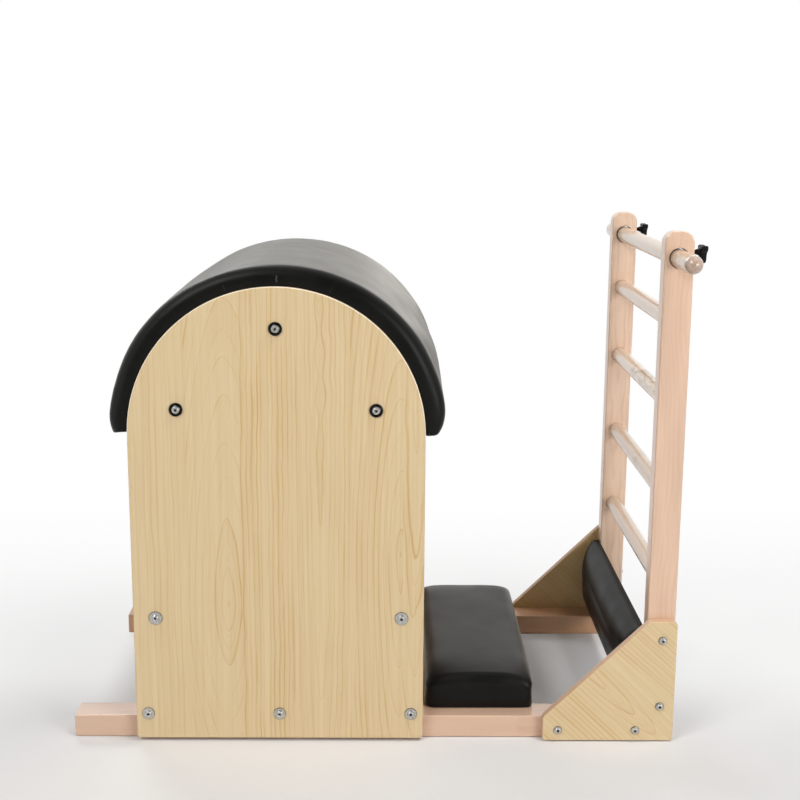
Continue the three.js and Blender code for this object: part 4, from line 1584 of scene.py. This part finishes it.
@dataclass
class BoxPad:
    """A pad on a board: drawn-in sides, rounded edges, pulled-down corners and a crown.

    The edges are rounded over their own lengths along the sides, the near end and the far end, and
    the corners are pulled down by their own amounts at the near and the far end. A lip is how far
    the seam stands out under the rounded edge, and a nose is how far the top slopes down to its
    near end. Points of a flat outline are complex numbers.
    """

    name: str
    half: Point
    thick: float
    crown: float
    edge_rise: float
    edge_round: tuple[float, float, float]
    corner_round: float
    draw_in: float
    pull: Point
    cap: float
    lip: float = 0.0
    nose: float = 0.0
    pull_reach: Point = (52.0, 46.0)
    cell: float = 9.0

    def _ring(self, inset: Sequence[float], radius: float, counts: Counts) -> list[complex]:
        """Points evenly spaced around a rounded rectangle, side by side from corner to corner."""
        hx, near, far = self.half[0] - inset[0], inset[1] - self.half[1], self.half[1] - inset[2]
        corners = [complex(hx, near), complex(hx, far), complex(-hx, far), complex(-hx, near)]
        arc = radius * math.pi / 4
        ring = []
        for side in range(4):
            start, end = corners[side], corners[(side + 1) % 4]
            length = abs(end - start)
            along = (end - start) / length
            out = along * -1j
            total = length - 2 * radius + 2 * arc
            count = counts[1 - side % 2]
            for s in (step / count * total for step in range(count)):
                if s < arc:
                    turn, centre = -math.pi / 4 + s / radius, start + (along - out) * radius
                elif s > total - arc:
                    turn, centre = (s - (total - arc)) / radius, end - (along + out) * radius
                else:
                    ring.append(start + along * (radius + s - arc))
                    continue
                ring.append(centre + (out * math.cos(turn) + along * math.sin(turn)) * radius)
        return ring

    @staticmethod
    def _patch(ring: list[complex], counts: Counts) -> dict[tuple[int, int], complex]:
        """Fill a ring with an even grid of points (a Coons patch)."""
        nx, ny = counts
        ring = ring + ring[:1]
        east, north = ring[: ny + 1], ring[ny : ny + nx + 1][::-1]
        west, south = ring[ny + nx : 2 * ny + nx + 1][::-1], ring[2 * ny + nx :]
        grid = {}
        for i in range(nx + 1):
            for j in range(ny + 1):
                u, v = i / nx, j / ny
                ruled = (1 - v) * south[i] + v * north[i] + (1 - u) * west[j] + u * east[j]
                low = (1 - u) * south[0] + u * south[nx]
                high = (1 - u) * north[0] + u * north[nx]
                grid[i, j] = ruled - (1 - v) * low - v * high
        return grid

    def _levels(self) -> list[tuple[list[float], float]]:
        """Inset and height of each ring, from the foot up the side and over the rounded edge."""
        side = self.thick - self.edge_rise
        foot = ((self.draw_in + 1.5, 0.0), (self.draw_in + 0.5, 0.5), (self.draw_in, 2.0))
        levels = [([inset] * 3, z) for inset, z in foot]
        parts = max(2, round(side / 6))
        for step in range(1, parts + 1):
            z = 2.0 + (side - 2.0) * step / parts
            bow = math.sin(min(z / side, 1) * math.pi / 2)
            fold = self.lip * math.exp(-(((z - side) / 3.5) ** 2))
            levels.append(([self.draw_in * (1 - bow) - fold] * 3, z))
        for step, (cos, sin) in enumerate(quarter(11)[1:], 1):
            fold = self.lip * math.exp(-((step / 1.2) ** 2))
            inset = [length * (1 - cos) - fold for length in self.edge_round]
            levels.append((inset, side + self.edge_rise * sin))
        return levels

    def skin(self, place: Place) -> Piece:
        """Make the pad's skin.

        Args:
            place: Turns the pad's own two directions and height into a point.

        Returns:
            The piece.
        """
        nx, ny = (max(4, round(2 * half / self.cell)) for half in self.half)
        points: list[Vector] = []
        rings: list[list[int]] = []
        flats: list[list[complex]] = []
        for inset, z in self._levels():
            ring = self._ring(inset, self.corner_round + max(inset) * 0.4, (nx, ny))
            flats.append(ring)
            rings.append(list(range(len(points), len(points) + len(ring))))
            points += [place(p.real, p.imag, self._lower(p, z)) for p in ring]
        faces = []
        count = len(rings[0])
        for low, high in zip(rings, rings[1:]):
            for i in range(count):
                j = (i + 1) % count
                faces.append((low[i], low[j], high[j], high[i]))
        border = [(nx, i) for i in range(ny)] + [(nx - i, ny) for i in range(nx)]
        border += [(0, ny - i) for i in range(ny)] + [(i, 0) for i in range(nx)]
        for end, z in ((0, 0.0), (-1, self.thick)):
            index = dict(zip(border, rings[end]))
            for key, p in self._patch(flats[end], (nx, ny)).items():
                if key not in index:
                    index[key] = len(points)
                    height = self._lower(p, z + self._dome(p)) if z else 0.0
                    points.append(place(p.real, p.imag, height))
            for i in range(nx):
                for j in range(ny):
                    square = ((i, j), (i + 1, j), (i + 1, j + 1), (i, j + 1))
                    faces.append([index[key] for key in square])
        return Bench.piece(self.name, points, faces)

    def _dome(self, p: complex) -> float:
        """How far the crown rises over a place of the top."""
        u = p.real / (self.half[0] - self.edge_round[0])
        v = p.imag / (self.half[1] - self.edge_round[1 if p.imag < 0 else 2])
        return self.crown * ((1 - min(u * u, 1)) * (1 - min(v**4, 1))) ** 1.5

    def _lower(self, p: complex, z: float) -> float:
        """Pull the skin down to the corners, where it is folded and stapled, and to the nose."""
        dx = max(0.0, self.half[0] - abs(p.real))
        dy = max(0.0, self.half[1] - abs(p.imag))
        reach = math.exp(-((dx / self.pull_reach[0]) ** 1.5) - (dy / self.pull_reach[1]) ** 1.5)
        raised = min(max(z / self.thick - 0.15, 0) / 0.6, 1.0)
        slope = (1 - p.imag / self.half[1]) / 2
        return z - (self.pull[0 if p.imag < 0 else 1] * reach + self.nose * slope) * raised


@dataclass
class Cushions:
    """The seat pad and the kick pad, with their boards."""

    seat_middle: float = 394.5
    seat_base: float = 45.3
    seat_lift: float = 0.6
    board_top: float = 57.3
    board_half: Point = (102.0, 261.0)
    board_corner: float = 18.0
    board_arris: float = 0.8
    stapled: float = 1.2
    kick_back: float = 716.5
    kick_middle: float = 136.0
    seat: BoxPad = field(
        default_factory=lambda: BoxPad(
            "seat_pad_cover",
            half=(108.9, 268.4),
            thick=76.5,
            crown=3.5,
            edge_rise=16.0,
            edge_round=(20.0, 13.0, 24.0),
            corner_round=14.0,
            draw_in=1.0,
            pull=(12.0, 7.0),
            cap=3.0,
            lip=1.1,
            nose=5.0,
        )
    )
    kick: BoxPad = field(
        default_factory=lambda: BoxPad(
            "kick_pad_cover",
            half=(87.4, 298.4),
            thick=39.5,
            crown=4.0,
            edge_rise=32.0,
            edge_round=(64.0, 24.0, 24.0),
            corner_round=14.0,
            draw_in=0.5,
            pull=(3.0, 3.0),
            cap=2.5,
        )
    )

    def build(self, fitter: Fitter) -> None:
        """Make and fit both pads and the seat's board.

        Args:
            fitter: Dresses the pieces.
        """
        middle, floor = self.seat_middle, self.seat_base + self.seat_lift
        cover = self.seat.skin(lambda a, b, c: at(middle + a, b, floor + c))
        Upholstery.swell(cover, lambda co: co.z < (floor + self.stapled) * MM, self.seat.cap)
        Upholstery.finish(cover)
        fitter.fit(cover, "black_seat_vinyl", "base", "vinyl", "seat_pad")
        half, side = self.board_half
        shape = Outline.rectangle((middle - half, middle + half), (-side, side), self.board_corner)
        span = (self.seat_base, self.board_top)
        board = Bench.board("seat_backing_board", shape, Plane.XY, span, self.board_arris)
        fitter.fit(board, "flat_plywood", "base", "plywood", "seat_board")

        back, held = self.kick_back, at(self.kick_back - self.stapled, 0, 0).x
        cover = self.kick.skin(lambda a, b, c: at(back - c, b, self.kick_middle + a))
        Upholstery.swell(cover, lambda co: co.x > held, self.kick.cap)
        Upholstery.finish(cover)
        fitter.fit(cover, "black_kick_vinyl", "base", "vinyl", "kick_pad", "kick_board")


# ---------------------------------------------------------------- studio


@dataclass(frozen=True)
class SoftBox:
    """A square soft box that looks at the object; one that isn't mirrored leaves no highlight."""

    name: str
    around: float
    above: float
    power: float
    size: float = 1.8
    away: float = 4.5
    mirrored: bool = True
    target: tuple[float, float, float] = (0.0, 0.0, 0.4)

    def hang(self) -> None:
        """Hang the lamp at its angle around the object, from the front, and above the floor."""
        data = bpy.data.lights.new(self.name, "AREA")
        data.shape = "SQUARE"
        data.size = self.size
        data.energy = self.power
        lamp = bpy.data.objects.new(self.name, data)
        lamp.visible_glossy = self.mirrored
        turn, lift = math.radians(self.around), math.radians(self.above)
        level = math.cos(lift)
        out = Vector((math.sin(turn) * level, -math.cos(turn) * level, math.sin(lift)))
        lamp.location = Vector(self.target) + out * self.away
        lamp.rotation_euler = (-out).to_track_quat("-Z", "Y").to_euler()
        bpy.context.scene.collection.objects.link(lamp)


@dataclass
class Studio:
    """Camera, floor, background and lamps."""

    boxes: tuple[SoftBox, ...] = (
        SoftBox("front_left_box", -38.0, 40.0, 158.0, size=2.4, away=6.0),
        SoftBox("front_left_low_box", -58.0, 5.0, 14.0),
        SoftBox("front_right_low_box", 40.0, 13.0, 78.0),
        SoftBox("high_right_box", 60.0, 65.0, 97.0, mirrored=False),
        SoftBox("back_left_box", -150.0, 40.0, 60.0),
        SoftBox("back_right_box", 150.0, 40.0, 14.0),
    )

    eye: tuple[float, float, float] = (0.008752, -2.715481, 1.178713)
    yaw: float = 0.011
    pitch: float = 0.203
    roll: float = -0.007
    lens: float = 58.9986
    sensor: float = 36.0
    floor_half: float = 30.0
    floor_drop: float = 0.0006
    floor_near: str = "e3e2e1"
    floor_far: str = "f4f4f4"

    def build(self) -> None:
        """Set up the whole studio."""
        scene = bpy.context.scene
        scene.view_settings.view_transform = "Standard"
        self._camera()
        self._floor()
        self._world()
        for box in self.boxes:
            box.hang()

    def _camera(self) -> None:
        """Stand the camera where the photograph was taken."""
        data = bpy.data.cameras.new("photo_camera")
        data.lens = self.lens
        data.sensor_width = self.sensor
        data.sensor_fit = "HORIZONTAL"
        camera = bpy.data.objects.new("photo_camera", data)
        yaw, level = self.yaw, math.cos(self.pitch)
        forward = Vector((math.sin(yaw) * level, math.cos(yaw) * level, -math.sin(self.pitch)))
        right = Vector((math.cos(yaw), -math.sin(yaw), 0.0))
        down = forward.cross(right)
        cos, sin = math.cos(self.roll), math.sin(self.roll)
        right, down = right * cos + down * sin, down * cos - right * sin
        rows = Matrix((right, -down, -forward)).transposed()
        camera.matrix_world = Matrix.Translation(Vector(self.eye)) @ rows.to_4x4()
        bpy.context.scene.collection.objects.link(camera)
        bpy.context.scene.camera = camera

    def _floor(self) -> None:
        """Lay the pale floor, which grows lighter towards the back as in the photograph."""
        half = self.floor_half
        mesh = bpy.data.meshes.new("studio_floor")
        corners = [(-half, -half, 0), (half, -half, 0), (half, half, 0), (-half, half, 0)]
        mesh.from_pydata(corners, [], [(0, 1, 2, 3)])
        floor = bpy.data.objects.new("studio_floor", mesh)
        floor.location.z = -self.floor_drop
        bpy.context.scene.collection.objects.link(floor)
        floor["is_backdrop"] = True
        g = Graph.material("studio_floor_paint")
        x, y, _ = g.place()
        # Painted light: the floor's colour is painted lighter towards the back, where it is lit more
        # brightly.
        back = y.spread(-350, 1500)
        speck = g.noise(y / 400, y / 300, 0.0)
        colour = g.mix(back, paint(self.floor_near), paint(self.floor_far))
        colour = g.shade(colour, speck.spread(0.2, 0.8, 0.995, 1.0))
        diffuse = g.node("ShaderNodeBsdfDiffuse", {}, {"Color": colour})
        glow = g.node("ShaderNodeEmission", {}, {"Color": (1, 1, 1, 1), "Strength": 1.0})
        seen, glossy, through = g.rays()
        # Near the object the floor keeps its shadow; away from it, it turns white to the camera.
        beside = (abs(x - 200) - 490).least(0)
        behind = (abs(y) - 310).least(0)
        clear = ((beside**2 + behind**2) ** 0.5).spread(0, 130)
        white = (y.spread(-450, 50) * 0.66 + y.spread(0, 1500) * 0.34) * clear
        # Far to the sides and far in front it is white in reflections and in other views too.
        sides = abs(x).spread(900, 2200) * 0.8
        beyond = abs(x).spread(1500, 2600).least((0 - y).spread(700, 1500))
        share = white.least(beyond * seen).least(sides * glossy) * seen.least(glossy).least(through)
        g.close(g.node("ShaderNodeMixShader", {}, {0: share, 1: diffuse, 2: glow}))
        mesh.materials.append(g.owner)

    def _world(self) -> None:
        """Make the backdrop white to the camera and in reflections, and a soft light elsewhere."""
        world = bpy.data.worlds.new("studio_backdrop")
        g = Graph(world)
        spot = g.node("ShaderNodeTexCoord", output="Generated")
        _, away, up = g.split(spot)
        front = away.spread(-0.7, 0.1, 0.08, 1.0)
        soft = up.spread(0.0, 0.8, 0.03, 0.01)
        seen, glossy, through = g.rays()
        shine = glossy.least(through) * front
        level = seen.least(shine).least((1 - seen.least(glossy).least(through)) * soft)
        back = g.node("ShaderNodeBackground", {}, {"Color": (1, 1, 1, 1), "Strength": level})
        g.close(back, "ShaderNodeOutputWorld")
        bpy.context.scene.world = world


def main() -> None:
    logging.basicConfig(level=logging.INFO, format="%(message)s")
    fitter = Fitter()
    for assembly in (BarrelBody, BaseFrame, Ladder, HandScrew, Fasteners, BarrelPad, Cushions):
        assembly().build(fitter)
    Studio().build()
    boxes = {"cad": [list(c) for c in CAD_BOX], "visual": [list(c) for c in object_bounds()]}
    log.info("%d pieces; boxes %s", fitter.count, boxes)


if __name__ == "__main__":
    main()
